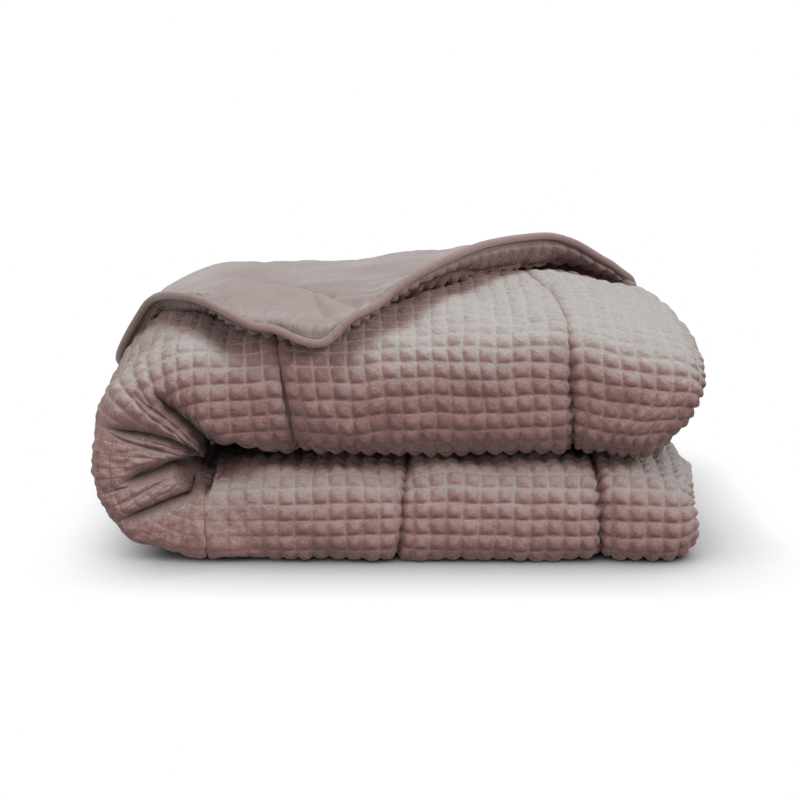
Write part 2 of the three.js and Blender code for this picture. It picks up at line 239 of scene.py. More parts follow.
# How far the plush stands out or in, round the half fold.
TURN_SHAPE = table(
    "at out",
    (-130, 0),
    (-90, -2),
    (-60, -4),
    (-30, -6),
    (0, -4),
    (25, 2),
    (55, 8),
    (85, 7),
    (110, 2),
    (140, 0),
)

# Soft folds on the turned-back corner, from one place to another: distances from the middle of the half fold
# and past the back edge. A fold falls if its rise is negative.
SOFT_FOLDS = table(
    "from_at from_past to_at to_past width rise",
    (110, 317, 146, 340, 6, -4.0),
    (138, 335, 176, 360, 8, -6.5),
    (170, 356, 203, 372, 8, -6.5),
    (116, 342, 192, 386, 15, 7.0),
    (112, 298, 196, 346, 18, -2.0),
    (198, 369, 207, 374, 4, -5.0),
    (206, 380, 234, 414, 5, -3.6),
    (214, 374, 252, 398, 5, -3.2),
    (192, 384, 206, 420, 6, -4.0),
    (186, 340, 262, 350, 16, 3.0),
    (240, 350, 300, 322, 8, -2.4),
    (120, 250, 240, 270, 26, 2.0),
    (250, 290, 330, 230, 16, 2.4),
    (100, 410, 84, 372, 3, -2.0),
    (113, 420, 98, 390, 3, -2.6),
    (124, 428, 108, 386, 3, -2.6),
    (137, 432, 128, 402, 3, -2.2),
    (152, 434, 148, 408, 3, -2.0),
    (172, 438, 176, 416, 3, -2.0),
    (300, 250, 360, 190, 14, -2.0),
)


def smooth(share):
    share = np.clip(share, 0, 1)
    return share * share * (3 - 2 * share)


def ease(at, start, stop):
    """Goes smoothly from 0 to 1 between two places, in either direction."""
    return smooth((at - start) / (stop - start))


def lerp(low, high, share):
    return low + (high - low) * share


def swell(distance, width):
    """A quarter round from 0 at an edge to 1 at full thickness."""
    share = 1 - np.clip(distance / width, 0, 1)
    return np.sqrt(1 - share * share)


def bump(distance, width):
    """A soft ridge, 1 in its middle."""
    return np.exp(-np.square(distance / width))


def read(rows, column, at):
    """Reads a column of a table between its rows, on a curve through all of them."""
    x, y = rows["at"], rows[column]
    slope = np.zeros(len(x))
    slope[1:-1] = (y[2:] - y[:-2]) / (x[2:] - x[:-2])
    at = np.clip(at, x[0], x[-1])
    k = np.clip(np.searchsorted(x, at, side="right") - 1, 0, len(x) - 2)
    step = x[k + 1] - x[k]
    share = (at - x[k]) / step
    rest = 1 - share
    low = y[k] * (1 + 2 * share) * rest**2 + slope[k] * step * share * rest**2
    high = y[k + 1] * (3 - 2 * share) * share**2 - slope[k + 1] * step * rest * share**2
    return low + high


def from_half_fold(along):
    return along - FLAT_LENGTH / 2


def reach(along):
    """How far the turned-back corner reaches past the back edge."""
    return np.maximum(0, read(FLAP, "reach", from_half_fold(along)))


def lower_edge(along):
    return -(LEAF + read(BACK_EDGES, "lower", along / FLAT_LENGTH))


def leaf_end(along):
    return FRONT_FOLD + LEAF + read(BACK_EDGES, "upper", along / FLAT_LENGTH)


def upper_edge(along):
    return leaf_end(along) + reach(along)


def to_side(along, across):
    return np.minimum(across - lower_edge(along), upper_edge(along) - across)


def to_end(along):
    return np.minimum(along, FLAT_LENGTH - along)


def loft(along, across):
    """Thickness away from the edges and seams."""
    past_back = ease(across - leaf_end(along), -FLAP_BLEND, FLAP_BLEND)
    on_flap = past_back * ease(reach(along), 0, 2 * FLAP_BLEND)
    return lerp(LOFT, FLAP_LOFT, on_flap), on_flap


def to_seam(along, across):
    """Distance to the nearest channel seam."""
    at = from_half_fold(along)
    names = list(STRAYING)[1:]
    strays = [read(STRAYING, name, across) for name in names]
    return np.min([np.abs(at - seam - stray) for seam, stray in zip(CHANNEL_SEAMS, strays)], axis=0)


def thickness(along, across):
    """Thickness of the duvet at a place in the flat cloth."""
    full, on_flap = loft(along, across)
    channel = lerp(CHANNEL_SEAM / LOFT, 1, swell(to_seam(along, across) - CHANNEL_FLAT, CHANNEL_SWELL))
    edge = swell(to_end(along), EDGE_SWELL) * swell(to_side(along, across), EDGE_SWELL)
    return SEAM_EDGE + (full - SEAM_EDGE) * edge * lerp(channel, 1, 0.8 * on_flap)


def turn_ends_in(along, out):
    """First fold. Gives the place along the outer layer and the depth inside it."""
    mirrored = along > FLAT_LENGTH / 2
    from_end = to_end(along)
    turn = np.pi * np.clip((from_end - TUCK) / HAIRPIN, 0, 1)
    radius = LAYER / 2 + out
    past = np.maximum(from_end - TUCK - HAIRPIN, 0) + np.maximum(TUCK - from_end, 0)
    run = past - radius * np.sin(turn)
    return np.where(mirrored, RUN - run, run), LAYER / 2 + radius * np.cos(turn)


def fold_front(along, across, inward):
    """Second fold: the long fold at the front."""
    radius = 1.5 * LAYER - inward
    turn = np.pi * np.clip(across / FRONT_FOLD, 0, 1)
    behind = np.maximum(-across, 0) + np.maximum(across - FRONT_FOLD, 0)
    depth = BUNDLE_RADIUS - radius * np.sin(turn) + behind
    off = -radius * np.cos(turn)
    past = across - leaf_end(along)
    flap_depth, flap_off = turn_flap_back(along, across, past, -inward)
    on_flap = (past > 0) & (reach(along) > 0)
    return np.where(on_flap, flap_depth, depth), np.where(on_flap, flap_off, off)


def turn_flap_back(along, across, past, out):
    """The corner of the top layer rolls up at the back edge and lies forward over the stack."""
    at = from_half_fold(along)
    roll = read(FLAP, "roll", at)
    lift = read(FLAP, "lift", at)
    curl = read(FLAP, "curl", at)
    back = BUNDLE_RADIUS + leaf_end(along) - FRONT_FOLD
    turn = np.clip(past / roll, 0, np.pi)
    rolled_depth = back + (roll - out) * np.sin(turn)
    rolled_off = 1.5 * LAYER + roll - (roll - out) * np.cos(turn)
    forward = past - np.pi * roll
    on_top = 1.5 * LAYER + LOFT / 2 + FLAP_GAP + FLAP_LOFT / 2
    lifted = on_top + lift * ease(upper_edge(along) - across, curl, 0)
    off = lerp(1.5 * LAYER + 2 * roll, lifted, ease(forward, 0, FLAP_SETTLING))
    over_front = np.maximum(0, BUNDLE_RADIUS - back + forward) / BUNDLE_RADIUS
    radius = off - out
    depth = np.maximum(back - forward, BUNDLE_RADIUS) - radius * np.sin(over_front)
    rolling = turn < np.pi
    return np.where(rolling, rolled_depth, depth), np.where(rolling, rolled_off, radius * np.cos(over_front))


def fill_front_corners(run, depth, off):
    """The front fold is nearly square on the floor, less so between the bundles, and least at the top."""
    upper = ease(run, ARM, ARM + HALF_FOLD)
    square = np.where(off < 0, INNER_CORNER, lerp(FLOOR_CORNER, TOP_CORNER, upper))
    forward = BUNDLE_RADIUS - depth
    length = np.maximum(np.hypot(forward, off), 1e-9)
    in_front = forward > 0
    sides = np.where(in_front, forward / length, 0) ** square + (np.abs(off) / length) ** square
    grow = np.where(in_front, np.maximum(sides, 1e-9) ** (-1 / square), 1)
    return BUNDLE_RADIUS - forward * grow, off * grow


def fold_in_half(run, depth, off):
    """Third fold, at the left."""
    middle = BUNDLE_RADIUS + FOLD_RADIUS
    radius = FOLD_RADIUS + off
    turn = np.clip((run - ARM) / FOLD_RADIUS, 0, np.pi)
    left = np.sin(turn)
    down = np.cos(turn)
    square = np.where(down > 0, *HALF_FOLD_CORNERS)
    full = radius * (left**square + np.abs(down) ** square) ** (-1 / square)
    straight = np.maximum(ARM - run, 0) + np.maximum(run - ARM - HALF_FOLD, 0)
    return straight - full * left, depth, middle - full * down


def settle(x, y, z):
    """The stack settles under its own weight: lower layers are flatter, the top is crowned."""
    height = z / STACK_HEIGHT
    crown = read(CROWN, "rise", y) - sum(drop * ease(x, start, stop) for drop, start, stop in DROPS)
    flattened = z * (1 - SETTLING * (1 - np.minimum(height, 1) ** 2))
    return np.stack([x, y, np.maximum(PRESSED, flattened + crown * height * height)], axis=-1)


def rounded_end(run, points):
    """The upper bundle's lower corner, at the right end, is rounder than the others."""
    x, z = points[..., 0], points[..., 2]
    over = z - STACK_GAP - END_CORNER
    drawn_in = END_ROUNDING * smooth(-over / END_CORNER) ** 1.5
    standing_out = END_SWELL * bump(over - END_SWELL_PLACE, END_SWELL_WIDTH)
    out = (standing_out - drawn_in) * ease(x, *END_START)
    return np.stack([x + np.where(run > RUN / 2, out, 0), points[..., 1], z], axis=-1)


def fold(along, across, out):
    """The whole way from the flat duvet to the folded stack, in millimetres."""
    run, inward = turn_ends_in(along, out)
    depth, off = fill_front_corners(run, *fold_front(along, across, inward))
    return rounded_end(run, settle(*fold_in_half(run, depth, off)))


# The duvet's grid follows the waffle. Its columns run across the cloth and its rows run along it.
CELL_STEPS = np.array([0, 0.09, 0.22, 0.36, 0.5, 0.64, 0.78, 0.91])  # shares of a cell's width
EDGE_STEPS = np.array([0, 1.2, 3, 6, 10, 15, 20, 25])  # distances from an edge
COLUMN_MARGIN = EDGE_STEPS[-1] + 3  # between the cloth's ends and the first cells
ROW_MARGIN = 4.0
FILL_ROWS = 10
ROLL_ROWS = 24
FLAP_ROWS = 70
FLAP_EDGE_ROWS = 30
FLAP_START = -30.0  # rows of the turned-back corner begin this far before the back edge
SHORTEST_FLAP = 140.0  # the same rows are drawn together where the corner is shorter than this
ROLL_WIDTH = 0.45 * SHORTEST_FLAP
FLAP_EDGE_WIDTH = 0.4 * SHORTEST_FLAP
STEEP_FLAP = (-44, 62)  # where the flap's edge runs nearly straight back, and columns stand closer
ACROSS_SAMPLES = 900
BLOCK = 4  # grid cells to a block, which is one face where it doesn't show
PIPING_STEP = 2.5
PIPING_SIDES = 14
PIPING_INSET = 3  # grid lines between the edge and the points that tell which way is out of the cloth
TURNED_BACK = 4.0  # the back edge counts as turned back where it reaches further than this

# Gentle unevenness: height of its hills, distance from one to the next, and the seed of its random draws.
ASKEW_ALONG = ((2.2, 150, 41), (0.9, 55, 42))
ASKEW_ACROSS = ((2.2, 170, 43), (0.9, 60, 44))
PLUSH_LUMPS = ((2.4, 110, 11), (1.2, 42, 12))
PRESSED_LUMPS = ((0.8, 17, 13),)
SMOOTH_LUMPS = ((1.7, 120, 31), (0.68, 45, 32))
SHOWING_THROUGH = ((1.0, 140, 51),)  # where the waffle shows through the smooth cloth

# The waffle.
VALLEY = 0.96  # where a cell's pyramid ends and the valley round it begins, from its peak
CELL_LEVEL = 0.4  # height in a cell, of its own, that lies on the smooth shape
CELL_SEEDS = (3, 4, 5)  # for a cell's shift along and across the cloth, and its height
SAG = 0.13  # how far a peak is moved towards the floor, as a share of its cell
CALM = 0.5  # how much of the relief is lost where it faces up
CALM_FACING = (0.35, 0.95)
CELL_SHIFT = (0.08, 0.06)  # how far a peak may be off its cell's middle, along and across the cloth
CELL_SHARPNESS = 1.75
CELL_RISE = 0.14  # how much cells differ in height
FLAT_CELL = 0.2  # height that a pressed cell keeps
PRESSED_START = (-HALF_BEND - 90, -HALF_BEND - 20)
PRESSED_STOP = (62, 12)
HIDDEN_LOSS = 0.8  # how much of the relief is left out far inside the turned-back corner
EDGE_FADE = (0.5, 6)  # distances from the cloth's edge between which the relief begins
TOP_START = (0.5 * FRONT_FOLD, 0.85 * FRONT_FOLD)  # where the front becomes the top
ASKEW_START = (10, 90)  # distances from the edges between which the waffle begins to be askew
ASKEW_PAST_FOLD = (HALF_BEND - 20, HALF_BEND + 60)
ASKEW_FADE = 60
LEAN = 17.0  # how far the upper bundle's waffle leans along the cloth, near the half fold
LEAN_START = (HALF_BEND - 10, HALF_BEND + 50)
LEAN_STOP = (HALF_BEND + 520, HALF_BEND - 60)
LEAN_BEHIND = (150, 10)
LEAN_BENEATH = (-300, -100)
SWALLOWED = 0.35  # how much of the waffle, at the eye of the half fold, vanishes into the creases
HOLLOW = 9.0  # how deep the top is pressed in under the turned-back corner's left end
HOLLOW_AT = 100.0
HOLLOW_SIZE = (55.0, 48.0)  # along and across the cloth

# The channel seams on the plush side.
SEAM_WIDTH = 4.0
SEAM_LOSS = 0.85  # how much of the relief is lost over a seam
SEAM_CRACK = 8.0  # depth of the crack over a seam
CRACK_WIDTH = (3.0, 4.0, 11.0)  # at a cell's middle, and between cells near the half fold and far from it
CRACK_OPENS = (200, 400)  # the cracks widen between these distances from the middle of the half fold
SEAM_FILL = 6.5  # how much shallower the channels are on the top
SEAM_FILL_WIDTH = 14.0

# The eye of the half fold.
CREASES_BEGIN = 25.0  # distance from the eye at which a crease has its `near` place
CREASES_LENGTH = 75.0  # from there to its `far` place
CREASES_NARROW = 14.0  # nearer to the eye than this, they get no narrower
CREASE_FADE = (14, 26)  # at a crease's start and stop
FRONT_FADE = 20
CREASE_BOW = 3.08  # how strongly its curve is drawn towards its `middle` place
CREASE_LAG = 0.44  # and how late it turns to its `far` one
EYE_DEPTH = 10.0
EYE_RADIUS = 22.0
EYE_RISE = 13.0  # depth of the pinched hollow on the upper bundle
EYE_DROP = 8.0  # and on the lower one
EYE_PAST_FOLD = (80, 5)
EYE_BEFORE_FOLD = (-45, -5)
EYE_ABOVE = (0.42, 0.05)  # this one and the next are shares of the front fold
EYE_BENEATH = (-0.9, -0.4)

# Where cloth lies in the shade, and where it shows.
CORNER_SHADE = (-38, -5)
GAP_SHADE = (66, 10)
GAP_SHADE_START = -HALF_BEND + 25
DARK_CREASE = 14.0  # a crease this deep is painted fully dark, as painted shade
DARK_EYE = (44, 20)
SHOWN_MARGIN = 14.0
SHOWN_SIDE = 24.0  # width of the strip that shows between the layers at the back
SMOOTH_SHOWN_SIDE = 9.0

# The turned-back corner's edge.
RIM_CELL = 0.9  # pitch of the cells beside the edge, against the other cells
RIM_START = (110, 70)  # those cells begin between these distances off the edge
RIM_PLACE = 5.0
RIM_SHARE = 0.8
LIP_START = 285.0  # from here to the right the plush under the edge is drawn wider
LIP_STRETCH = 0.42
LIP_END = (540, 500)  # between these places it no longer bulges past the piping
SCALLOP = 13.5  # width of the rounded bumps beneath the piping
SCALLOP_HEIGHT = 6.0
RIM_OVERHANG = 5.0  # how far the plush bulges past the piping
FLAP_UNDER = 0.75  # how far the corner's fullness lies to its plush side, near its edge
SMALL_PUCKERS = (13.0, 2.0, 6, 16, 21)  # gap, width, least and greatest length, and seed
LARGE_PUCKERS = (31.0, 5.0, 26, 52, 31)
FOLD_RISE = 1.25

# Numbers that the finishes read at each point of the cloth.
PLUSH_LOOKS = ("groove", "pressed", "sewn", "sheltered", "rim", "upward")
EDGE_LOOKS = ("edge_route", "edge_off")

# Sizes of the cloths' grain and height of its bumps, in metres.
STROKES, STROKE = 0.028, 0.009
TUFT, TUFT_HEIGHT = 0.0042, 0.003
PILE, PILE_HEIGHT = 0.0016, 0.001
NAP = 0.045
STREAK, STREAK_HEIGHT = 0.006, 0.0006
DRAWN, DRAWN_HEIGHT = 0.011, 0.005
DRAWN_REACH = 0.02
WEAVE, WEAVE_HEIGHT = 0.0011, 0.0002
CORD_PUCKER, CORD_PUCKER_HEIGHT = 0.004, 0.0008
HIGHLIGHT_FACING = (0.5, -0.1, 0.86)  # the pile is painted palest where it faces this way, towards the window light: a painted highlight
UPWARDS = (0, 0, 1)
LOWER_FRONT = (0.01, 0.055, 0.085, 0.125)  # the plush is painted lighter at these heights, as painted light on the lower bundle's front: begins, full, fades, ends
CLOTH_SHINE = 0.15
BLACK = (0.0, 0.0, 0.0, 1.0)
WHITE = (1.0, 1.0, 1.0, 1.0)

# The camera stands where the photograph was taken from.
CAMERA_PLACE = (0.015, -1.788, 0.483)
CAMERA_PITCH = 11.74
CAMERA_LENS = 79.2
CAMERA_SENSOR = 36.0
FLOOR_SIZE = 80.0
FLOOR_SHADOW = 0.11  # how far from the duvet the painted shadow on the floor reaches
FLOOR_DEPTH = 1.5
FLOOR_DARKENS = (-0.34, -0.2)  # the floor has no painted shadow to the left of the first place, along x
SURROUND_BELOW = 0.3

# Soft, far lights: where from, how wide they look from the duvet in degrees, and their colour.
LIGHTS = {
    "overhead": ((0.0, 0.25, 1.0), 45, (0.9, 1.0, 0.98)),
    "window": ((0.74, -0.48, 0.55), 24, (1.0, 0.97, 0.95)),
    "fill": ((-0.6, -0.8, 0.2), 90, (1.0, 0.97, 0.95)),
}

# Where straight parts and bends meet, as distances over the cloth's plush side and along its middle.
PLUSH_MARKS = np.cumsum([0, TUCK, OUTER_HAIRPIN, ARM, np.pi * OUTER_RADIUS, ARM, OUTER_HAIRPIN, TUCK])
ALONG_MARKS = np.cumsum([0, TUCK, HAIRPIN, ARM, HALF_FOLD, ARM, HAIRPIN, TUCK])
PLUSH_END = PLUSH_MARKS[-1] / 2
PLUSH_BEND = np.pi * OUTER_RADIUS / 2


def along_of(plush):
    """The place along the cloth, of a distance along its plush side from the middle of the half fold."""
    return np.interp(plush + PLUSH_END, PLUSH_MARKS, ALONG_MARKS)


def plush_of(along):
    return np.interp(along, ALONG_MARKS, PLUSH_MARKS) - PLUSH_END


def aligned(low, high, pitch):
    """Places between two ends that follow the waffle's cells."""
    cells = np.arange(np.ceil(low / pitch), np.floor(high / pitch))
    return np.append(((cells[:, None] + CELL_STEPS) * pitch).ravel(), np.floor(high / pitch) * pitch)


def columns(pitch):
    """Places along the cloth at which the grid has a column."""
    end = PLUSH_END - COLUMN_MARGIN
    cells = along_of(aligned(-end, end, pitch))
    extra = (cells[1:] + cells[:-1]) / 2
    at = from_half_fold(extra)
    extra = extra[(at > STEEP_FLAP[0]) & (at < STEEP_FLAP[1])]
    return np.sort(np.concatenate([EDGE_STEPS, cells, extra, FLAT_LENGTH - EDGE_STEPS]))


def flap_rows(length):
    """Places of the turned-back corner's rows, for its length from where those rows begin."""
    full = max(length, SHORTEST_FLAP)
    rolled = np.linspace(0, ROLL_WIDTH, ROLL_ROWS, endpoint=False)
    edge = full - FLAP_EDGE_WIDTH * np.linspace(1, 0, FLAP_EDGE_ROWS) ** 1.3
    middle = np.linspace(ROLL_WIDTH, edge[0], FLAP_ROWS, endpoint=False)
    return np.concatenate([rolled, middle, edge]) * length / full


def plush_length(along, across):
    """Distance across the cloth from the middle of the front fold, measured over its plush side."""
    points = fold(along, across, LOFT / 2 * swell(to_side(along, across), EDGE_SWELL))
    steps = np.linalg.norm(np.diff(points, axis=1), axis=-1)
    length = np.concatenate([np.zeros((len(points), 1)), np.cumsum(steps, axis=1)], axis=1)
    middle = [np.interp(FRONT_FOLD / 2, row, here) for row, here in zip(across, length)]
    return length - np.array(middle)[:, None]


def as_on_arms(along, dense, length):
    """Where the ends are turned in, the waffle's rows go on as they are on the arms."""
    left = np.searchsorted(along, TUCK + HAIRPIN)
    right = np.searchsorted(along, FLAT_LENGTH - TUCK - HAIRPIN)
    for turned_in, arm in ((slice(0, left), left), (slice(right, None), right - 1)):
        places = dense[turned_in]
        before = np.clip(places - dense[arm, 0], None, 0)
        after = np.clip(places - dense[arm, -1], 0, None)
        length[turned_in] = np.interp(places, dense[arm], length[arm]) + before + after
    return length


def round_corners(along, across):
    """Rounds the flat cloth's corners, by drawing the columns near each end in."""
    inside = np.clip(CORNER_RADIUS - to_side(along, across), 0, CORNER_RADIUS)
    inset = CORNER_RADIUS - np.sqrt(CORNER_RADIUS**2 - inside**2)
    shift = inset * ease(to_end(along), 3 * CORNER_RADIUS, 0)
    return np.where(along < FLAT_LENGTH / 2, along + shift, along - shift)


class Grid:
    """Places in the flat cloth, and their distances along and across its plush side.

    `at` is the distance from the middle of the half fold. `past` is how far a place is past where the back
    edge would be without the turned-back corner. `reach` is how far that corner reaches, and `roll` is the
    length of cloth in its roll.
    """

    def __init__(self, pitch):
        along = columns(pitch)
        low, back, high = lower_edge(along), leaf_end(along), upper_edge(along)
        dense = lerp(low[:, None], high[:, None], np.linspace(0, 1, ACROSS_SAMPLES))
        length = plush_length(np.repeat(along[:, None], ACROSS_SAMPLES, axis=1), dense)
        length = as_on_arms(along, dense, length)
        every = range(len(along))
        first = max(np.interp(low[k] + EDGE_STEPS[-1], dense[k], length[k]) for k in every)
        last = min(np.interp(back[k] + FLAP_START, dense[k], length[k]) for k in every)
        cells = aligned(first + ROW_MARGIN, last - ROW_MARGIN, pitch)
        rows = []
        for k in every:
            main = np.interp(cells, length[k], dense[k])
            start = low[k] + EDGE_STEPS
            stop = back[k] + FLAP_START
            before = np.linspace(start[-1], main[0], FILL_ROWS + 1)[1:-1]
            after = np.linspace(main[-1], stop, FILL_ROWS + 1)[1:-1]
            flap = stop + flap_rows(high[k] - stop)
            rows.append(np.concatenate([start, before, main, after, flap]))
        self.across = np.array(rows)
        self.plush_across = np.array([np.interp(a, d, v) for a, d, v in zip(self.across, dense, length)])
        self.along = round_corners(np.repeat(along[:, None], self.across.shape[1], axis=1), self.across)
        self.plush_along = plush_of(self.along)
        self.along, self.across = strayed(self)
        self.at = from_half_fold(self.along)
        self.past = self.across - leaf_end(self.along)
        self.reach = reach(self.along)
        self.roll = np.pi * read(FLAP, "roll", self.at)


def strayed(grid):
    """The places in the flat cloth, after the waffle has been pulled a little askew by handling."""
    place = grid.plush_along, grid.plush_across
    at = from_half_fold(grid.along)
    inner = ease(to_side(grid.along, grid.across), *ASKEW_START) * ease(to_end(grid.along), *ASKEW_START)
    inner = inner * ease(np.abs(at), *ASKEW_PAST_FOLD)
    in_arm = ease(np.abs(grid.plush_along), PLUSH_BEND + ARM, PLUSH_BEND + ARM - ASKEW_FADE)
    lean = LEAN * ease(at, *LEAN_START) * ease(at, *LEAN_STOP)
    lean = lean * ease(grid.across, *LEAN_BEHIND) * ease(grid.across, *LEAN_BENEATH)
    along = grid.along + (uneven(ASKEW_ALONG, *place) * inner + lean) * in_arm
    return along, grid.across + uneven(ASKEW_ACROSS, *place) * inner


def waves(along, across, length, seed):
    """Uneven, gentle hills and hollows from -1 to 1, about `length` from one to the next."""
    random = np.random.default_rng(seed)
    total = 0
    for _ in range(6):
        turn, phase = random.uniform(0, 2 * np.pi, 2)
        wave = 2 * np.pi / length * random.uniform(0.6, 1.4)
        total = total + np.sin(wave * (along * np.cos(turn) + across * np.sin(turn)) + phase)
    return total / 3.2


def uneven(rows, along, across):
    """Waves of several heights and lengths, added up."""
    return sum(height * waves(along, across, length, seed) for height, length, seed in rows)


def scatter(cell_along, cell_across, seed):
    """A number from -1 to 1 for each cell, the same each time."""
    numbers = np.random.default_rng(seed).uniform(-1, 1, (97, 89))
    return numbers[cell_along.astype(int) % 97, cell_across.astype(int) % 89]


def half_fold_share(along):
    """0 where the cloth is on the lower bundle, 1 on the upper one, between them in the half fold."""
    return np.clip((along - TUCK - HAIRPIN - ARM) / HALF_FOLD, 0, 1)


def from_eye(grid):
    """Distance of each point of the plush side from the eye of the half fold."""
    across = np.clip(grid.across / FRONT_FOLD, 0, 1)
    return FOLD_RADIUS - (1.5 * LAYER + LOFT / 2) * np.cos(np.pi * across)


def crease_line(k, radius):
    """Where a crease is along the cloth."""
    near, middle, far = (CREASES[name][k] for name in ("near", "middle", "far"))
    share = np.clip((radius - CREASES_BEGIN) / CREASES_LENGTH, 0, 1.2)
    bow = CREASE_BOW * (middle - near) * (share - share**2)
    return near + bow + (far - near) * ((1 + CREASE_LAG) * share**2 - CREASE_LAG * share)


def gathered(grid):
    """The waffle's distance along the cloth. In the half fold much of it vanishes into the creases."""
    radius = from_eye(grid)
    share = half_fold_share(grid.along)
    at = (share - 0.5) * HALF_FOLD
    swallowed = 0
    for k, depth in enumerate(CREASES["depth"]):
        step = smooth(0.5 + (at - crease_line(k, radius)) / (2 * CREASES["width"][k]))
        swallowed = swallowed + step * depth / CREASES["depth"].sum()
    lost = SWALLOWED * (OUTER_RADIUS - radius) / (OUTER_RADIUS - FOLD_RADIUS)
    turned = 2 * PLUSH_BEND * (lerp(share, swallowed, lost) - 0.5)
    return np.where((share > 0) & (share < 1), turned, grid.plush_along)


def creasing(grid):
    """How deep the creases of the half fold are at each point."""
    radius = from_eye(grid)
    in_front = ease(grid.across, -FRONT_FADE, 0) * ease(grid.across, FRONT_FOLD + FRONT_FADE, FRONT_FOLD)
    deep = np.zeros_like(grid.at)
    rows = zip(*(CREASES[name] for name in ("depth", "width", "start", "stop")))
    for k, (depth, width, start, stop) in enumerate(rows):
        away = np.abs(grid.at - crease_line(k, radius)) * np.maximum(radius, CREASES_NARROW) / FOLD_RADIUS
        shown = ease(radius, start, start + CREASE_FADE[0]) * ease(radius, stop, stop - CREASE_FADE[1])
        deep = np.maximum(deep, depth * shown * in_front * (1 - swell(away, width)))
    return deep


def eye_hollow(grid):
    """How deep the hollow is where the cloth is pinched between the bundles, at the eye of the half fold."""
    across = grid.across / FRONT_FOLD
    past = np.abs(grid.at) - HALF_BEND
    along_bars = ease(past, *EYE_PAST_FOLD) * ease(past, *EYE_BEFORE_FOLD)
    near = ease(across, *EYE_ABOVE) * ease(across, *EYE_BENEATH)
    return np.where(grid.at > 0, EYE_RISE, EYE_DROP) * along_bars * near


def pressed(grid):
    """1 where the waffle is drawn flat, in the half fold and on the lower bundle beside it, 0 elsewhere."""
    return ease(grid.at, *PRESSED_START) * ease(grid.at, *PRESSED_STOP)


def waffle(along, across, pitch, sag, flat):
    """Height of the waffle from 0 in its grooves to 1, and how near each point is to a groove."""
    cell_along, cell_across = np.floor(along / pitch), np.floor(across / pitch)

    def from_peak(share, shift):
        """Distance from a cell's peak, 0 there and 1 at the cell's sides."""
        peak = 0.5 + shift
        return np.abs(share - peak) / np.where(share < peak, peak, 1 - peak)

    shift_along, shift_across, rise = (scatter(cell_along, cell_across, seed) for seed in CELL_SEEDS)
    to_left = from_peak(along / pitch - cell_along, CELL_SHIFT[0] * shift_along)
    to_top = from_peak(across / pitch - cell_across, CELL_SHIFT[1] * shift_across + sag)
    side = np.clip((to_left**6 + to_top**6) ** (1 / 6), 0, 1)
    height = lerp(1 - np.minimum(side / VALLEY, 1) ** CELL_SHARPNESS, FLAT_CELL * (1 - side**9), flat)
    return height * (1 + CELL_RISE * rise), side


class FlapEdge:
    """Distances on the turned-back corner, off its edge and along it."""

    def __init__(self, grid):
        along = grid.along[:, 0]
        edge = upper_edge(along)
        points = fold(along, edge, np.zeros_like(edge))
        steps = np.linalg.norm(np.diff(points, axis=0), axis=-1)
        route = np.concatenate([[0], np.cumsum(steps)])[:, None]
        slope = np.gradient(edge, along)[:, None]
        longer = np.hypot(1, slope)
        off = upper_edge(grid.along) - grid.across
        self.off = off / longer
        self.route = route - off * slope / longer
        lip = self.route - np.interp(LIP_START, from_half_fold(along), route[:, 0])
        self.ribs = self.route - LIP_STRETCH * np.maximum(lip, 0)
        self.on = ease(grid.past, 0, 40) * ease(grid.reach, TURNED_BACK, 30)
        self.short_of_end = ease(grid.at, *LIP_END)


def between_bundles(grid):
    """1 away from the turned-in ends, 0 at them."""
    return ease(np.abs(grid.plush_along), PLUSH_BEND + ARM + 10, PLUSH_BEND + ARM - 70)


def shelter(grid):
    """1 where the cloth lies in the shade of the turned-back corner or of the upper bundle, 0 in the open."""
    length = grid.reach - grid.roll
    under_corner = ease(grid.past + length, *CORNER_SHADE) * ease(length, 0, 40)
    under_corner = under_corner * (grid.at > 0) * (grid.past < -20)
    in_gap = ease(grid.across, *GAP_SHADE) * (grid.at < GAP_SHADE_START) * between_bundles(grid)
    return np.maximum(under_corner, in_gap)


def scallops(route):
    """Round bumps in a row, 0 in the notches between them and 1 on top."""
    return 1 - np.abs(2 * (route / SCALLOP - np.floor(route / SCALLOP)) - 1) ** 2.2


def from_gap(distance, pitch):
    """1 between two cells and 0 in a cell's middle, for a distance over the waffle."""
    return np.abs(2 * (distance / pitch - np.floor(distance / pitch)) - 1)


def seam_crack(grid, edge, pitch, on_top):
    """How far each point lies in the crack over a channel seam, from 0 to 1."""
    at = np.abs(grid.at)
    notch = from_gap(grid.plush_across, pitch) ** 2
    opened = ease(at, *CRACK_OPENS)
    middle, closed, wide = CRACK_WIDTH
    width = lerp(middle, lerp(closed, wide, opened), notch)
    crack = (1 - swell(to_seam(grid.along, grid.across), width)) * lerp(0.7, 1, notch)
    crack = crack * (1 - edge.on) * lerp(0.6, 1, opened) * (1 - 0.85 * on_top)
    return crack * np.where(at < HALF_BEND + 30, 0.7 * ease(grid.across, 20, 50), 1)


def cells_of(grid, edge, pitch, flat):
    """Height of the waffle's cells, main ones and those by the corner's edge, and nearness to a groove."""
    around = np.clip(grid.across / FRONT_FOLD, 0, 1)
    sag = SAG * np.cos(np.pi * half_fold_share(grid.along)) * np.sin(np.pi * around)
    main, side = waffle(gathered(grid), grid.plush_across, pitch, sag, flat)
    rim, rim_side = waffle(edge.ribs, edge.off, pitch * RIM_CELL, 0 * sag, 0 * flat)
    at_rim = edge.on * ease(edge.off, *RIM_START)
    cells = (lerp(main, rim, at_rim) - CELL_LEVEL) * (1 + 0.3 * at_rim)
    return cells, lerp(side, rim_side, at_rim)


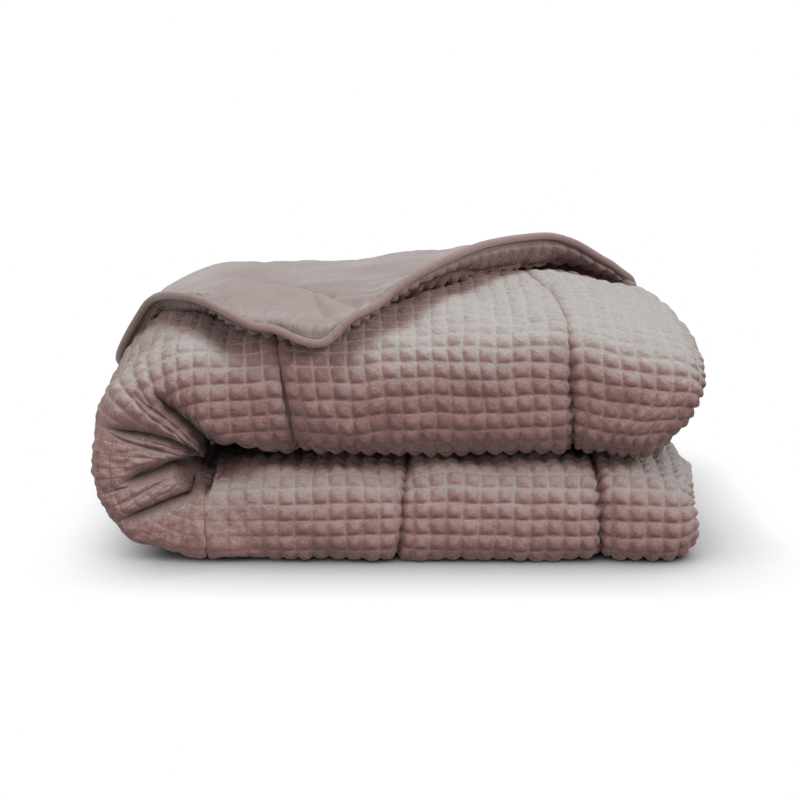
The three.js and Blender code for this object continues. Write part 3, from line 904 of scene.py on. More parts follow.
def plush_relief(grid, edge, pitch, height, up):
    """How far each point of the plush side stands off the smooth shape, and its numbers for PLUSH_LOOKS."""
    flat = pressed(grid)
    cells, side = cells_of(grid, edge, pitch, flat)
    place = grid.plush_along, grid.plush_across
    seam = to_seam(grid.along, grid.across)
    on_top = ease(grid.across, *TOP_START) * (grid.at > 0)
    crack = seam_crack(grid, edge, pitch, on_top)
    rim = bump(edge.off - RIM_PLACE, RIM_PLACE) * edge.on
    hidden = ease(edge.off, 60, 90) * edge.on
    calm = CALM * ease(up, *CALM_FACING) * (grid.at > -HALF_BEND)
    relief = height * cells * (1 - HIDDEN_LOSS * hidden) * (1 - calm) + uneven(PLUSH_LUMPS, *place)
    relief = relief * (1 - SEAM_LOSS * bump(seam, SEAM_WIDTH)) - SEAM_CRACK * crack
    relief = lerp(relief, 0.5 + SCALLOP_HEIGHT * scallops(edge.ribs), RIM_SHARE * rim)

    shallow = np.maximum(on_top, bump(grid.at - CHANNEL_SEAMS[2], 30))
    relief = relief + SEAM_FILL * bump(seam, SEAM_FILL_WIDTH) * shallow * (1 - edge.on)
    relief = relief + flat * uneven(PRESSED_LUMPS, *place)
    hollow = bump(grid.at - HOLLOW_AT, HOLLOW_SIZE[0]) * bump(grid.across - FRONT_FOLD - 5, HOLLOW_SIZE[1])
    relief = relief - HOLLOW * hollow
    turn_shape = read(TURN_SHAPE, "out", grid.at)
    relief = relief + turn_shape * ease(grid.across, 5, 40) * ease(grid.past, -40, -90)

    fade = ease(to_side(grid.along, grid.across), *EDGE_FADE) * ease(to_end(grid.along), *EDGE_FADE)
    radius = from_eye(grid)
    in_half_fold = np.abs(grid.at) < HALF_BEND
    in_fold = in_half_fold * ease(grid.across, -60, -10)
    creases = creasing(grid)
    relief = relief * fade - creases - eye_hollow(grid) - EYE_DEPTH * in_fold * bump(radius, EYE_RADIUS)

    drawn_in = ease(radius, 16, 44) * np.clip(3 * np.abs(grid.across / FRONT_FOLD), 0, 1)
    in_gap = ease(grid.across, 4, -24) * (1 - edge.on) * between_bundles(grid)
    # Painted shade: the cracks over the seams, the deep creases, the eye of the half fold and the gap between
    # the bundles are painted dark, as the shade that falls in them.
    dark = np.maximum(crack, np.clip(creases / DARK_CREASE, 0, 1))
    dark = np.maximum(dark, 0.97 * in_fold * ease(radius, *DARK_EYE))
    dark = np.maximum(dark, 0.9 * in_gap)
    groove = side * np.where(in_half_fold & (grid.across > -60), drawn_in, 1)
    groove = groove * (1 - bump(seam, 6) * (1 - edge.on)) * (1 - dark) * (1 - rim)
    return relief, (groove, flat, dark, shelter(grid), rim, up)


def past_rim(edge, middle):
    """How far each point of the plush is moved out past the turned-back corner's edge."""
    along = np.gradient(middle[:, -1], axis=0)
    along /= np.maximum(np.linalg.norm(along, axis=-1, keepdims=True), 1e-12)
    out = middle[:, -1] - middle[:, -4]
    out -= along * np.sum(out * along, axis=-1, keepdims=True)
    out /= np.maximum(np.linalg.norm(out, axis=-1, keepdims=True), 1e-12)
    far = RIM_OVERHANG * (0.4 + 0.6 * scallops(edge.ribs))
    far = far * bump(edge.off - RIM_PLACE, RIM_PLACE) * ease(edge.off, 0.3, 3)
    far = far * edge.short_of_end * edge.on
    return out[:, None] * far[..., None]


def edge_puckers(edge, gap, width, shortest, longest, seed):
    """Dents square to the corner's edge, each with its own place, lean, length and depth."""
    number = np.floor(edge.route / gap)
    place, lean, long, deep = (scatter(number, number * 0, seed + k) for k in range(4))
    away = edge.route - (number + 0.5 + 0.25 * place) * gap - 0.4 * lean * edge.off
    long = lerp(shortest, longest, long * long)
    return (1 + 0.5 * deep) * bump(away, width) * ease(edge.off, long, 0.2 * long)


def soft_folds(grid):
    """How far the soft folds rise, and how sharply each point is creased."""
    folds = creased = 0 * grid.at
    for from_at, from_past, to_at, to_past, width, rise in zip(*SOFT_FOLDS.values()):
        run_at, run_past = to_at - from_at, to_past - from_past
        at, past = grid.at - from_at, grid.past - from_past
        share = np.clip((at * run_at + past * run_past) / (run_at**2 + run_past**2), 0, 1)
        away = np.hypot(at - run_at * share, past - run_past * share)
        folds = folds + rise * bump(away, width)
        creased = np.maximum(creased, np.clip(-rise / 6, 0, 1) * bump(away, 0.6 * width))
    return folds, creased


def smooth_relief(grid, edge, pitch, height):
    """How far each point of the smooth side stands off its plain shape, and how sharply it is creased."""
    dents = 0.7 * edge_puckers(edge, *SMALL_PUCKERS) + edge_puckers(edge, *LARGE_PUCKERS)
    folds, creased = soft_folds(grid)
    cells, _ = waffle(grid.plush_along, grid.plush_across, pitch, 0, 0)
    showing = smooth(0.3 + uneven(SHOWING_THROUGH, grid.along, grid.across)) * ease(edge.off, 50, 90)
    relief = uneven(SMOOTH_LUMPS, grid.along, grid.across) + FOLD_RISE * folds + 0.5 * cells * showing
    sunk = 1.5 * bump(edge.off - 1, 2.5)
    fade = ease(to_side(grid.along, grid.across), 0, 3) * ease(to_end(grid.along), 1, 12)
    return (relief - height * dents - sunk) * edge.on * fade, creased


def outward(points, other):
    """The direction off a grid's surface, away from the other side's points."""
    normal = np.cross(np.gradient(points, axis=0), np.gradient(points, axis=1))
    away = np.sign(np.sum(normal * (points - other)))
    return away * normal / np.maximum(np.linalg.norm(normal, axis=-1, keepdims=True), 1e-12)


def block_marks(count):
    return np.append(np.arange(0, count - 1, BLOCK), count - 1)


def panel_faces(fine, shape):
    """Faces of a grid: each cell of a fine block, and one face for each other block, as lists of points."""
    along, across = block_marks(shape[0]), block_marks(shape[1])
    used = np.zeros(shape, bool)
    used[np.ix_(along, across)] = True
    cells = np.repeat(np.repeat(fine, np.diff(along), axis=0), np.diff(across), axis=1)
    number = np.arange(shape[0] * shape[1]).reshape(shape)
    for di in (0, 1):
        for dj in (0, 1):
            used[di : shape[0] - 1 + di, dj : shape[1] - 1 + dj] |= cells
    i, j = np.nonzero(cells)
    corners = [number[i, j], number[i + 1, j], number[i + 1, j + 1], number[i, j + 1]]
    faces = np.stack(corners, axis=1).tolist()
    for a, b in zip(*np.nonzero(~fine)):
        i0, i1, j0, j1 = along[a], along[a + 1], across[b], across[b + 1]
        around = [(i, j0) for i in range(i0, i1)] + [(i1, j) for j in range(j0, j1)]
        around += [(i, j1) for i in range(i1, i0, -1)] + [(i0, j) for j in range(j1, j0, -1)]
        faces.append([int(number[p]) for p in around if used[p]])
    return faces, used


def rim_faces(used, other_used):
    """Faces that join the edges of two grids of one shape. The second one's points are numbered last."""
    shape = used.shape
    number = np.arange(shape[0] * shape[1]).reshape(shape)
    along, across = block_marks(shape[0]), block_marks(shape[1])
    last, far = shape[0] - 1, shape[1] - 1
    sides = [[(i, 0) for i in range(a, b + 1)] for a, b in zip(along, along[1:])]
    sides += [[(last, j) for j in range(a, b + 1)] for a, b in zip(across, across[1:])]
    sides += [[(i, far) for i in range(b, a - 1, -1)] for a, b in zip(along, along[1:])]
    sides += [[(0, j) for j in range(b, a - 1, -1)] for a, b in zip(across, across[1:])]
    faces = []
    for side in sides:
        near = [int(number[p]) for p in side if used[p]]
        other = [int(number[p]) + number.size for p in side if other_used[p]]
        faces.append(other + near[::-1])
    return faces


def shown_blocks(shown):
    """Blocks of a grid that hold a point marked as shown."""
    along, across = block_marks(shown.shape[0]), block_marks(shown.shape[1])
    blocks = np.add.reduceat(np.add.reduceat(shown.astype(int), along[:-1], axis=0), across[:-1], axis=1)
    return blocks > 0


def plush_shown(grid, edge):
    """Where the plush side can be seen, or nearly."""
    turned = np.abs(grid.plush_along)
    bundle_end = ARM + PLUSH_BEND
    outer = turned < bundle_end + OUTER_HAIRPIN + SHOWN_MARGIN
    by_edge = (grid.past < -26) | (grid.reach > TURNED_BACK)
    front = outer & (grid.across > -75) & (grid.across < FRONT_FOLD + 70)
    under_flap = (grid.past > 60 + grid.roll - grid.reach) & (grid.past < -36)
    top = (grid.plush_along > -PLUSH_BEND) & (grid.plush_along < bundle_end + SHOWN_MARGIN)
    top = top & (grid.across > FRONT_FOLD) & (grid.past < 0) & ~under_flap & by_edge
    hairpin = outer & (turned > bundle_end - SHOWN_MARGIN) & by_edge
    near_eye = (np.abs(grid.at) < HALF_BEND + 90) & (grid.across > -190) & (grid.across < 0)
    sides = grid.across - lower_edge(grid.along) < SHOWN_SIDE
    flap = (grid.past > -10) & (grid.reach > TURNED_BACK) & ((edge.off < 75) | (grid.at > 290))
    return front | near_eye | top | hairpin | sides | flap


def smooth_shown(grid):
    flap = (grid.past > -40) & (grid.reach > TURNED_BACK)
    return flap | (grid.across - lower_edge(grid.along) < SMOOTH_SHOWN_SIDE)


class Field:
    """A number that changes over a surface. Arithmetic on it adds Math nodes."""

    def __init__(self, nodes, socket):
        self.nodes = nodes
        self.socket = socket

    def calculated(self, operation, *values):
        return self.nodes.field("ShaderNodeMath", 0, dict(enumerate(values)), operation=operation)

    def __add__(self, other):
        return self.calculated("ADD", self, other)

    def __sub__(self, other):
        return self.calculated("SUBTRACT", self, other)

    def __rsub__(self, other):
        return self.calculated("SUBTRACT", other, self)

    def __mul__(self, other):
        return self.calculated("MULTIPLY", self, other)

    def __pow__(self, other):
        return self.calculated("POWER", self, other)

    def __abs__(self):
        return self.calculated("ABSOLUTE", self)

    __radd__ = __add__
    __rmul__ = __mul__


class Nodes:
    """The node tree of a material or a world, emptied and built node by node."""

    def __init__(self, owner):
        owner.use_nodes = True
        self.tree = owner.node_tree
        self.tree.nodes.clear()

    def node(self, kind, sockets, **settings):
        """Adds a node, with its settings made before its sockets are filled or linked."""
        made = self.tree.nodes.new(kind)
        for name, value in settings.items():
            setattr(made, name, value)
        for name, value in sockets.items():
            if isinstance(value, Field):
                value = value.socket
            if isinstance(value, bpy.types.NodeSocket):
                self.tree.links.new(value, made.inputs[name])
            else:
                made.inputs[name].default_value = value
        return made

    def field(self, kind, output, sockets, **settings):
        return Field(self, self.node(kind, sockets, **settings).outputs[output])


class Finish(Nodes):
    """A material, laid on in coats of colour."""

    def __init__(self, name):
        self.material = bpy.data.materials.new(name)
        super().__init__(self.material)
        self.place = self.node("ShaderNodeTexCoord", {}).outputs["Object"]
        self.color = BLACK

    def attribute(self, name):
        return self.field("ShaderNodeAttribute", "Fac", {}, attribute_name=name)

    def coordinate(self, axis):
        return self.field("ShaderNodeSeparateXYZ", axis, {"Vector": self.place})

    def joined(self, first, second):
        """A place on the surface, from two distances."""
        return self.node("ShaderNodeCombineXYZ", {"X": first, "Y": second, "Z": 0.0}).outputs["Vector"]

    def facing(self, direction):
        """1 where the surface faces a direction, -1 where it faces away from it."""
        normal = self.node("ShaderNodeNewGeometry", {}).outputs["Normal"]
        sockets = {0: normal, 1: Vector(direction).normalized()}
        return self.field("ShaderNodeVectorMath", "Value", sockets, operation="DOT_PRODUCT")

    def noise(self, size, detail=2.0, roughness=0.5, place=None):
        """Uneven patches from 0 to 1, about `size` metres across."""
        sockets = {
            "Vector": place or self.place,
            "Scale": 1 / size,
            "Detail": detail,
            "Roughness": roughness,
        }
        return self.field("ShaderNodeTexNoise", "Fac", sockets)

    def step(self, value, low, high):
        """0 below one value, 1 above another, smooth between them."""
        sockets = {"Value": value, "From Min": low, "From Max": high}
        return self.field("ShaderNodeMapRange", "Result", sockets, interpolation_type="SMOOTHSTEP")

    def mixed(self, share, first, second):
        """Two colours, mixed by a field."""
        return self.node("ShaderNodeMix", {0: share, 6: first, 7: second}, data_type="RGBA").outputs[2]

    def coat(self, share, color):
        """Covers a share of what is there with another colour."""
        self.color = self.mixed(share, self.color, color)

    def bumped(self, height, distance, normal=None):
        sockets = {"Height": height, "Distance": distance, "Strength": 1.0}
        if normal:
            sockets["Normal"] = normal
        return self.node("ShaderNodeBump", sockets).outputs["Normal"]

    def surface(self, sockets):
        shader = self.node("ShaderNodeBsdfPrincipled", sockets)
        self.node("ShaderNodeOutputMaterial", {"Surface": shader.outputs["BSDF"]})
        return self.material

    def cloth(self, roughness, normal, sheen, sheen_roughness, sheen_tint=WHITE):
        return self.surface(
            {
                "Base Color": self.color,
                "Roughness": roughness,
                "Normal": normal,
                "Specular IOR Level": CLOTH_SHINE,
                "Sheen Weight": sheen,
                "Sheen Roughness": sheen_roughness,
                "Sheen Tint": sheen_tint,
            }
        )


def shaded(color, by):
    """A colour made lighter or darker."""
    return tuple(min(1.0, part * by) for part in color[:3]) + (1.0,)


def plush_finish(color, pale):
    """Short, dense pile: deep in colour from the side and below, with painted shade below, and pale where it
    faces up, a painted highlight.
    """
    finish = Finish("waffle_plush")
    groove, flat, sewn, sheltered, rim, shape_up = (finish.attribute(name) for name in PLUSH_LOOKS)
    stroked = finish.noise(STROKES) * 0.6 + finish.noise(STROKE, detail=1.0) * 0.4
    pile = finish.noise(PILE, detail=3.0, roughness=0.65)
    tufts = finish.noise(TUFT, roughness=0.6)
    height = finish.coordinate("Z")
    low, full, fading, high = LOWER_FRONT
    lower = (1 - finish.step(height, fading, high)) * finish.step(height, low, full)
    uneven_pile = (stroked + tufts * 0.4 - 0.7) * 0.6
    upward = finish.facing(HIGHLIGHT_FACING) * 0.55 + shape_up * 0.45 + uneven_pile
    upward = upward + lower * 0.1 + flat * 0.2
    down = 0 - (finish.facing(UPWARDS) * 0.5 + shape_up * 0.5 + uneven_pile)
    line = finish.step(groove, 0.8, 0.93)
    valley = line * (1 - flat)
    painted_highlight = finish.step(upward, 0.0, 1.0) * 0.96 * (1 - sewn) * (1 - sheltered * 0.8)
    flecks = finish.step(pile, 0.35, 0.7) * (1 - valley) * (1 - painted_highlight * 0.5)
    valley_tone_and_highlight = finish.mixed(finish.step(upward, -0.3, 0.6), shaded(color, 1.25), shaded(pale, 0.95))

    finish.color = shaded(color, 0.86)
    finish.coat(finish.step(stroked + tufts * 0.35, 0.45, 0.95), shaded(color, 1.14))
    # Painted light: lighter on the lower bundle's front and in the pressed half fold.
    finish.coat(lower * 0.7 + flat * (1 - lower * 0.7), shaded(color, 1.35))
    # Painted shade: darker where the pile faces down, less so in the pressed half fold.
    finish.coat(finish.step(down, -0.25, 0.5) * (0.85 - flat * 0.4), shaded(color, 0.4))
    # Painted highlight: pale where the pile faces up and towards the window light, less so in the painted
    # shade.
    finish.coat(painted_highlight, shaded(pale, 1))
    # Painted light on the band of plush under the turned-back corner's piping.
    finish.coat(rim * 0.25, shaded(pale, 0.8))
    # Painted shadow under the turned-back corner and in the gap between the bundles.
    finish.coat(sheltered * 0.6, shaded(color, 0.6))
    finish.coat(flecks * (0.36 + flat * 0.2), shaded(color, 0.5))
    # The valley lines are lighter: partly a lighter tone of the cloth in its grooves, partly painted light
    # against the shade that falls in them, and pale where they face up, a painted highlight.
    finish.coat(valley * 0.42 * (1 - sewn), valley_tone_and_highlight)
    # Painted shade in the grooves of the pressed waffle.
    finish.coat(line * flat * 0.2, shaded(color, 0.45))
    # Painted shade in the seam cracks, the deep creases, the eye and the gap between the bundles.
    finish.coat(sewn * 0.85, shaded(color, 0.15))

    normal = finish.bumped(tufts, TUFT_HEIGHT)
    normal = finish.bumped(pile, PILE_HEIGHT, normal)
    sheen = {"sheen": 0.28, "sheen_roughness": 0.6, "sheen_tint": (1.0, 0.82, 0.8, 1.0)}
    return finish.cloth(0.82 + pile * 0.15, normal, **sheen)


def reverse_finish(color):
    """Smooth brushed cloth, with faint marks of its nap, small creases where it is stitched to the piping,
    and painted shade in its creases, beside the piping and where it faces up.
    """
    finish = Finish("smooth_reverse")
    route, off = (finish.attribute(name) for name in EDGE_LOOKS)
    weave = finish.noise(WEAVE, roughness=0.6)
    streaks = finish.noise(STREAK, detail=3.0, roughness=0.6)
    drawn = finish.noise(DRAWN, place=finish.joined(route, off * 0.35))
    reach_in = finish.noise(DRAWN_REACH, detail=1.0, place=finish.joined(route, 0.4))
    near = 1 - finish.step(off, 0.001, 0.0025 + reach_in * reach_in * 0.04)
    brushed = finish.noise(NAP, detail=3.0, roughness=0.6) * 0.7 + streaks * 0.3

    finish.color = shaded(color, 0.93)
    finish.coat(finish.step(brushed, 0.38, 0.66), shaded(color, 1.06))
    finish.coat(weave * 0.12, shaded(color, 0.75))
    # Painted shade in the small creases beside the piping.
    finish.coat((1 - finish.step(abs(drawn - 0.5), 0.0, 0.05)) * near * 0.45, shaded(color, 0.4))
    # Painted shade where the cloth faces straight up.
    finish.coat(finish.step(finish.facing(UPWARDS), 0.85, 1.0) * 0.3, shaded(color, 0.6))
    # Painted shade in the creases of the soft folds.
    finish.coat(finish.attribute("sewn") * 0.3, shaded(color, 0.4))
    # Painted shade in the groove beside the piping.
    finish.coat((1 - finish.step(off, 0.001, 0.005)) * 0.7, shaded(color, 0.38))

    normal = finish.bumped(drawn * near, DRAWN_HEIGHT)
    normal = finish.bumped(streaks, STREAK_HEIGHT, normal)
    normal = finish.bumped(weave, WEAVE_HEIGHT, normal)
    return finish.cloth(0.8 + weave * 0.12, normal, sheen=0.35, sheen_roughness=0.5)


def piping_finish(color):
    """Smooth cloth drawn tight round a cord, with small puckers across it."""
    finish = Finish("piping_cloth")
    place = finish.joined(finish.attribute("along_cord"), finish.attribute("round_cord") * CORD_PUCKER)
    puckers = finish.noise(CORD_PUCKER, place=place)
    weave = finish.noise(WEAVE, roughness=0.6)
    finish.color = shaded(color, 0.9)
    finish.coat(finish.step(puckers, 0.3, 0.7), shaded(color, 1.08))
    finish.coat(weave * 0.15, shaded(color, 0.7))
    normal = finish.bumped(puckers, CORD_PUCKER_HEIGHT)
    normal = finish.bumped(weave, WEAVE_HEIGHT, normal)
    sheen = {"sheen": 0.4, "sheen_roughness": 0.45, "sheen_tint": (1.0, 0.95, 0.93, 1.0)}
    return finish.cloth(0.7 + weave * 0.12, normal, **sheen)


def floor_finish(color):
    """A plain, pale floor that glows evenly instead of being lit, with a painted shadow close to what lies on
    it.
    """
    finish = Finish("pale_floor")
    open_air = finish.field("ShaderNodeAmbientOcclusion", "AO", {"Distance": FLOOR_SHADOW}, samples=12)
    under = finish.step(finish.coordinate("X"), *FLOOR_DARKENS)
    # Painted shadow: the glowing floor is darker where little open air is around it.
    finish.coat(1 - (1 - open_air**FLOOR_DEPTH) * under, shaded(color, 1))
    return finish.surface(
        {
            "Base Color": BLACK,
            "Roughness": 1.0,
            "Specular IOR Level": 0.0,
            "Emission Color": finish.color,
            "Emission Strength": 1.0,
        }
    )


def frame_shift(points):
    """Moves the folded cloth to where the frame has it."""
    low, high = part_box("duvet")
    least, most = points.reshape(-1, 3).min(axis=0) * MM, points.reshape(-1, 3).max(axis=0) * MM
    middle = (np.array(low) + np.array(high)) / 2 - (least + most) / 2
    return np.array([middle[0], middle[1], low[2] - least[2]])


def on_turned_back(grid):
    """1 on the part of the turned-back corner that lies on the stack, 0 elsewhere."""
    near_edge = ease(to_side(grid.along, grid.across), EDGE_SWELL + 6, EDGE_SWELL - 6)
    return ease(grid.past - grid.roll, -20, 30) * near_edge * ease(grid.reach, TURNED_BACK, 60)


def folded_sides(grid):
    """The plush and the smooth side of the folded duvet, without their relief, in metres."""
    half = thickness(grid.along, grid.across) / 2
    under = -FLAP_UNDER * on_turned_back(grid) * (FLAP_LOFT / 2 - half)
    plush, plain = fold(grid.along, grid.across, under + half), fold(grid.along, grid.across, under - half)
    shift = frame_shift(np.stack([plush, plain]))
    return plush * MM + shift, plain * MM + shift


def mesh_of(name, points, faces):
    mesh = bpy.data.meshes.new(name)
    mesh.from_pydata(points.tolist(), [], faces)
    mesh.update()
    piece = bpy.data.objects.new(name, mesh)
    bpy.context.scene.collection.objects.link(piece)
    return piece


def give_numbers(piece, name, values):
    attribute = piece.data.attributes.new(name, "FLOAT", "POINT")
    attribute.data.foreach_set("value", np.asarray(values, np.float32).ravel())


def only_used(points, faces, *numbers):
    """Leaves out the points that no face has."""
    used = np.unique(np.concatenate([np.array(face) for face in faces]))
    place = np.full(len(points), -1)
    place[used] = np.arange(len(used))
    return points[used], [place[face].tolist() for face in faces], [values[used] for values in numbers]


class DuvetSizes(bpy.types.PropertyGroup):
    """Sizes and colours of the duvet's cloth."""

    pitch: bpy.props.FloatProperty(
        name="Waffle pitch",
        description="Width of one cell of the waffle",
        default=0.0155,
        unit="LENGTH",
    )
    relief: bpy.props.FloatProperty(
        name="Waffle relief",
        description="Height of a cell's peak over its grooves",
        default=0.0041,
        unit="LENGTH",
    )
    puckers: bpy.props.FloatProperty(
        name="Edge puckers",
        description="Depth of the puckers beside the piping",
        default=0.0014,
        unit="LENGTH",
    )
    plush: bpy.props.FloatVectorProperty(
        name="Plush colour",
        description="Colour of the waffle plush",
        default=(0.31, 0.163, 0.151),
        subtype="COLOR",
    )
    # The colour of the painted highlight on the pile.
    pale: bpy.props.FloatVectorProperty(
        name="Pale plush colour",
        description="Colour of the pile where it faces up",
        default=(0.415, 0.405, 0.394),
        subtype="COLOR",
    )
    reverse: bpy.props.FloatVectorProperty(
        name="Reverse colour",
        description="Colour of the smooth cloth on the inside",
        default=(0.3, 0.235, 0.228),
        subtype="COLOR",
    )


class PipingSizes(bpy.types.PropertyGroup):
    """Sizes and colour of the piping."""

    radius: bpy.props.FloatProperty(
        name="Radius",
        description="Radius of the piping",
        default=PIPING_RADIUS * MM,
        unit="LENGTH",
    )
    color: bpy.props.FloatVectorProperty(
        name="Piping colour",
        description="Colour of the cloth round the cord",
        default=(0.28, 0.19, 0.18),
        subtype="COLOR",
    )


class StageSizes(bpy.types.PropertyGroup):
    """The floor, the lights and the camera."""

    floor: bpy.props.FloatVectorProperty(
        name="Floor colour",
        description="Colour of the plain floor",
        default=(1.0, 1.0, 1.0),
        subtype="COLOR",
    )
    overhead: bpy.props.FloatProperty(
        name="Overhead light", description="Strength of the wide light above", default=1.7
    )
    window: bpy.props.FloatProperty(
        name="Window light", description="Strength of the narrower light from the upper right", default=1.85
    )
    fill: bpy.props.FloatProperty(
        name="Fill light", description="Strength of the wide light from the left and front", default=1.65
    )
    surround: bpy.props.FloatProperty(
        name="Surround", description="Brightness of the white surroundings", default=0.36
    )


def duvet_grid(sizes):
    return Grid(sizes.pitch / MM)


def filled_surface(sizes):
    """Points, faces and looks of the filled cloth, and how many of its faces, from the first, are plush."""
    grid = duvet_grid(sizes)
    edge = FlapEdge(grid)
    pitch = sizes.pitch / MM
    shown = plush_shown(grid, edge)
    plush, plain = folded_sides(grid)
    off_plush = outward(plush, plain)
    relief, looks = plush_relief(grid, edge, pitch, sizes.relief / MM, off_plush[..., 2])
    dents, creased = smooth_relief(grid, edge, pitch, sizes.puckers / MM)
    raised = off_plush * (relief * softened(shown))[..., None] + past_rim(edge, (plush + plain) / 2)
    floor = plush[..., 2].min()
    plain = plain + outward(plain, plush) * dents[..., None] * MM
    plush = plush + raised * MM
    plush[..., 2] = np.maximum(plush[..., 2], floor)

    plush_faces, plush_used = panel_faces(shown_blocks(shown), shown.shape)
    plain_faces, plain_used = panel_faces(shown_blocks(smooth_shown(grid)), shown.shape)
    turned = [[shown.size + p for p in face[::-1]] for face in plain_faces]
    faces = plush_faces + turned + rim_faces(plush_used, plain_used)
    points = np.concatenate([plush.reshape(-1, 3), plain.reshape(-1, 3)])
    looks = [np.concatenate([numbers.ravel(), creased.ravel()]) for numbers in looks]
    looks += [np.tile(numbers.ravel() * MM, 2) for numbers in (edge.route, edge.off)]
    return *only_used(points, faces, *looks), len(plush_faces)


class DUVET_OT_add_filled_cloth(bpy.types.Operator):
    """Add the folded, filled cloth: waffle plush on one side, smooth on the other"""

    bl_idname = "duvet.add_filled_cloth"
    bl_label = "Add filled cloth"

    def execute(self, context):
        sizes = context.scene.duvet_sizes
        points, faces, looks, plush_faces = filled_surface(sizes)
        piece = mesh_of("filled_cloth", points, faces)
        for name, numbers in zip(PLUSH_LOOKS + EDGE_LOOKS, looks):
            give_numbers(piece, name, numbers)
        piece.data.materials.append(plush_finish(sizes.plush, sizes.pale))
        piece.data.materials.append(reverse_finish(sizes.reverse))
        slots = (np.arange(len(faces)) >= plush_faces).astype(np.int32)
        piece.data.polygons.foreach_set("material_index", slots)
        piece.data.shade_smooth()
        face_outwards(piece)
        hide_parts("duvet")
        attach(piece, "root")
        print("filled_cloth", len(points), "points", sum(len(f) - 2 for f in faces), "triangles")
        return {"FINISHED"}


def softened(mask):
    """1 well inside a grid's marked places and 0 outside them."""
    share = mask.astype(float)
    for _ in range(6):
        for axis in (0, 1):
            near = np.roll(share, 1, axis) + np.roll(share, -1, axis)
            share = np.where(mask, (share * 2 + near) / 4, 0)
    return smooth(share * 2 - 0.9)


def face_outwards(piece):
    """Turns the faces so that the closed shape encloses its filling."""
    mesh = piece.data
    mesh.calc_loop_triangles()
    corners = np.empty(len(mesh.vertices) * 3)
    mesh.vertices.foreach_get("co", corners)
    corners = corners.reshape(-1, 3)
    triangles = np.empty(len(mesh.loop_triangles) * 3, np.int32)
    mesh.loop_triangles.foreach_get("vertices", triangles)
    a, b, c = corners[triangles.reshape(-1, 3)].transpose(1, 0, 2)
    if np.sum(a * np.cross(b, c)) < 0:
        mesh.flip_normals()


def edge_route(plush, plain):
    """The duvet's edge, once round, and the direction out of the cloth at each place."""
    middle = (plush + plain) / 2
    by = PIPING_INSET
    outside = [middle[:-1, 0], middle[-1, :-1], middle[:0:-1, -1], middle[0, :0:-1]]
    inside = [middle[:-1, by], middle[-1 - by, :-1], middle[:0:-1, -1 - by], middle[by, :0:-1]]
    route = np.concatenate(outside)
    outward = route - np.concatenate(inside)
    return route, outward / np.maximum(np.linalg.norm(outward, axis=1, keepdims=True), 1e-9)


def spaced(route, outward, gap):
    """The same closed route with its points evenly spaced, gently smoothed."""
    around = np.concatenate([route, route[:1]])
    length = np.concatenate([[0], np.cumsum(np.linalg.norm(np.diff(around, axis=0), axis=1))])
    count = int(length[-1] / gap)
    at = np.linspace(0, length[-1], count, endpoint=False)
    outward = np.concatenate([outward, outward[:1]])
    route = np.stack([np.interp(at, length, around[:, k]) for k in range(3)], axis=1)
    outward = np.stack([np.interp(at, length, outward[:, k]) for k in range(3)], axis=1)
    for _ in range(8):
        outward = (np.roll(outward, 1, axis=0) + np.roll(outward, -1, axis=0) + outward) / 3
    for _ in range(3):
        route = (np.roll(route, 1, axis=0) + np.roll(route, -1, axis=0) + 2 * route) / 4
    return route, outward / np.linalg.norm(outward, axis=1, keepdims=True), at


def round_cord(middle, outward, radius):
    """Points and faces of a closed, round cord, ring by ring, and each ring's cosines."""
    run = np.roll(middle, -1, axis=0) - np.roll(middle, 1, axis=0)
    run /= np.linalg.norm(run, axis=1, keepdims=True)
    side = outward - run * np.sum(outward * run, axis=1, keepdims=True)
    side /= np.linalg.norm(side, axis=1, keepdims=True)
    other = np.cross(run, side)
    turn = np.arange(PIPING_SIDES) * 2 * np.pi / PIPING_SIDES
    ring = np.cos(turn)[:, None] * side[:, None] + np.sin(turn)[:, None] * other[:, None]
    points = middle[:, None] + radius * ring
    number = np.arange(len(middle) * PIPING_SIDES).reshape(-1, PIPING_SIDES)
    ahead = np.roll(number, -1, axis=0)
    faces = np.stack([number, ahead, np.roll(ahead, -1, axis=1), np.roll(number, -1, axis=1)], axis=-1)
    return points.reshape(-1, 3), faces.reshape(-1, 4).tolist(), np.cos(turn)


class DUVET_OT_add_piping(bpy.types.Operator):
    """Add the round piping along the duvet's sewn edge"""

    bl_idname = "duvet.add_piping"
    bl_label = "Add piping"

    def execute(self, context):
        sizes = context.scene.piping_sizes
        route, outward = edge_route(*folded_sides(duvet_grid(context.scene.duvet_sizes)))
        route, outward, at = spaced(route, outward, PIPING_STEP * MM)
        middle = route + outward * (sizes.radius + PIPING_GAP * MM)
        points, faces, around = round_cord(middle, outward, sizes.radius)
        piece = mesh_of("piping_cord", points, faces)
        give_numbers(piece, "along_cord", np.repeat(at, PIPING_SIDES))
        give_numbers(piece, "round_cord", np.tile(around, len(at)))
        piece.data.materials.append(piping_finish(sizes.color))
        piece.data.shade_smooth()
        face_outwards(piece)
        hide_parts("piping")
        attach(piece, "root")
        print("piping_cord", len(piece.data.vertices), "points")
        return {"FINISHED"}


def add_sun(name, place, width, color, power):
    bpy.ops.object.light_add(type="SUN", location=place)
    light = bpy.context.object
    light.name = name
    light.data.energy = power
    light.data.angle = np.radians(width)
    light.data.color = color
    light.rotation_euler = Vector(place).to_track_quat("Z", "Y").to_euler()


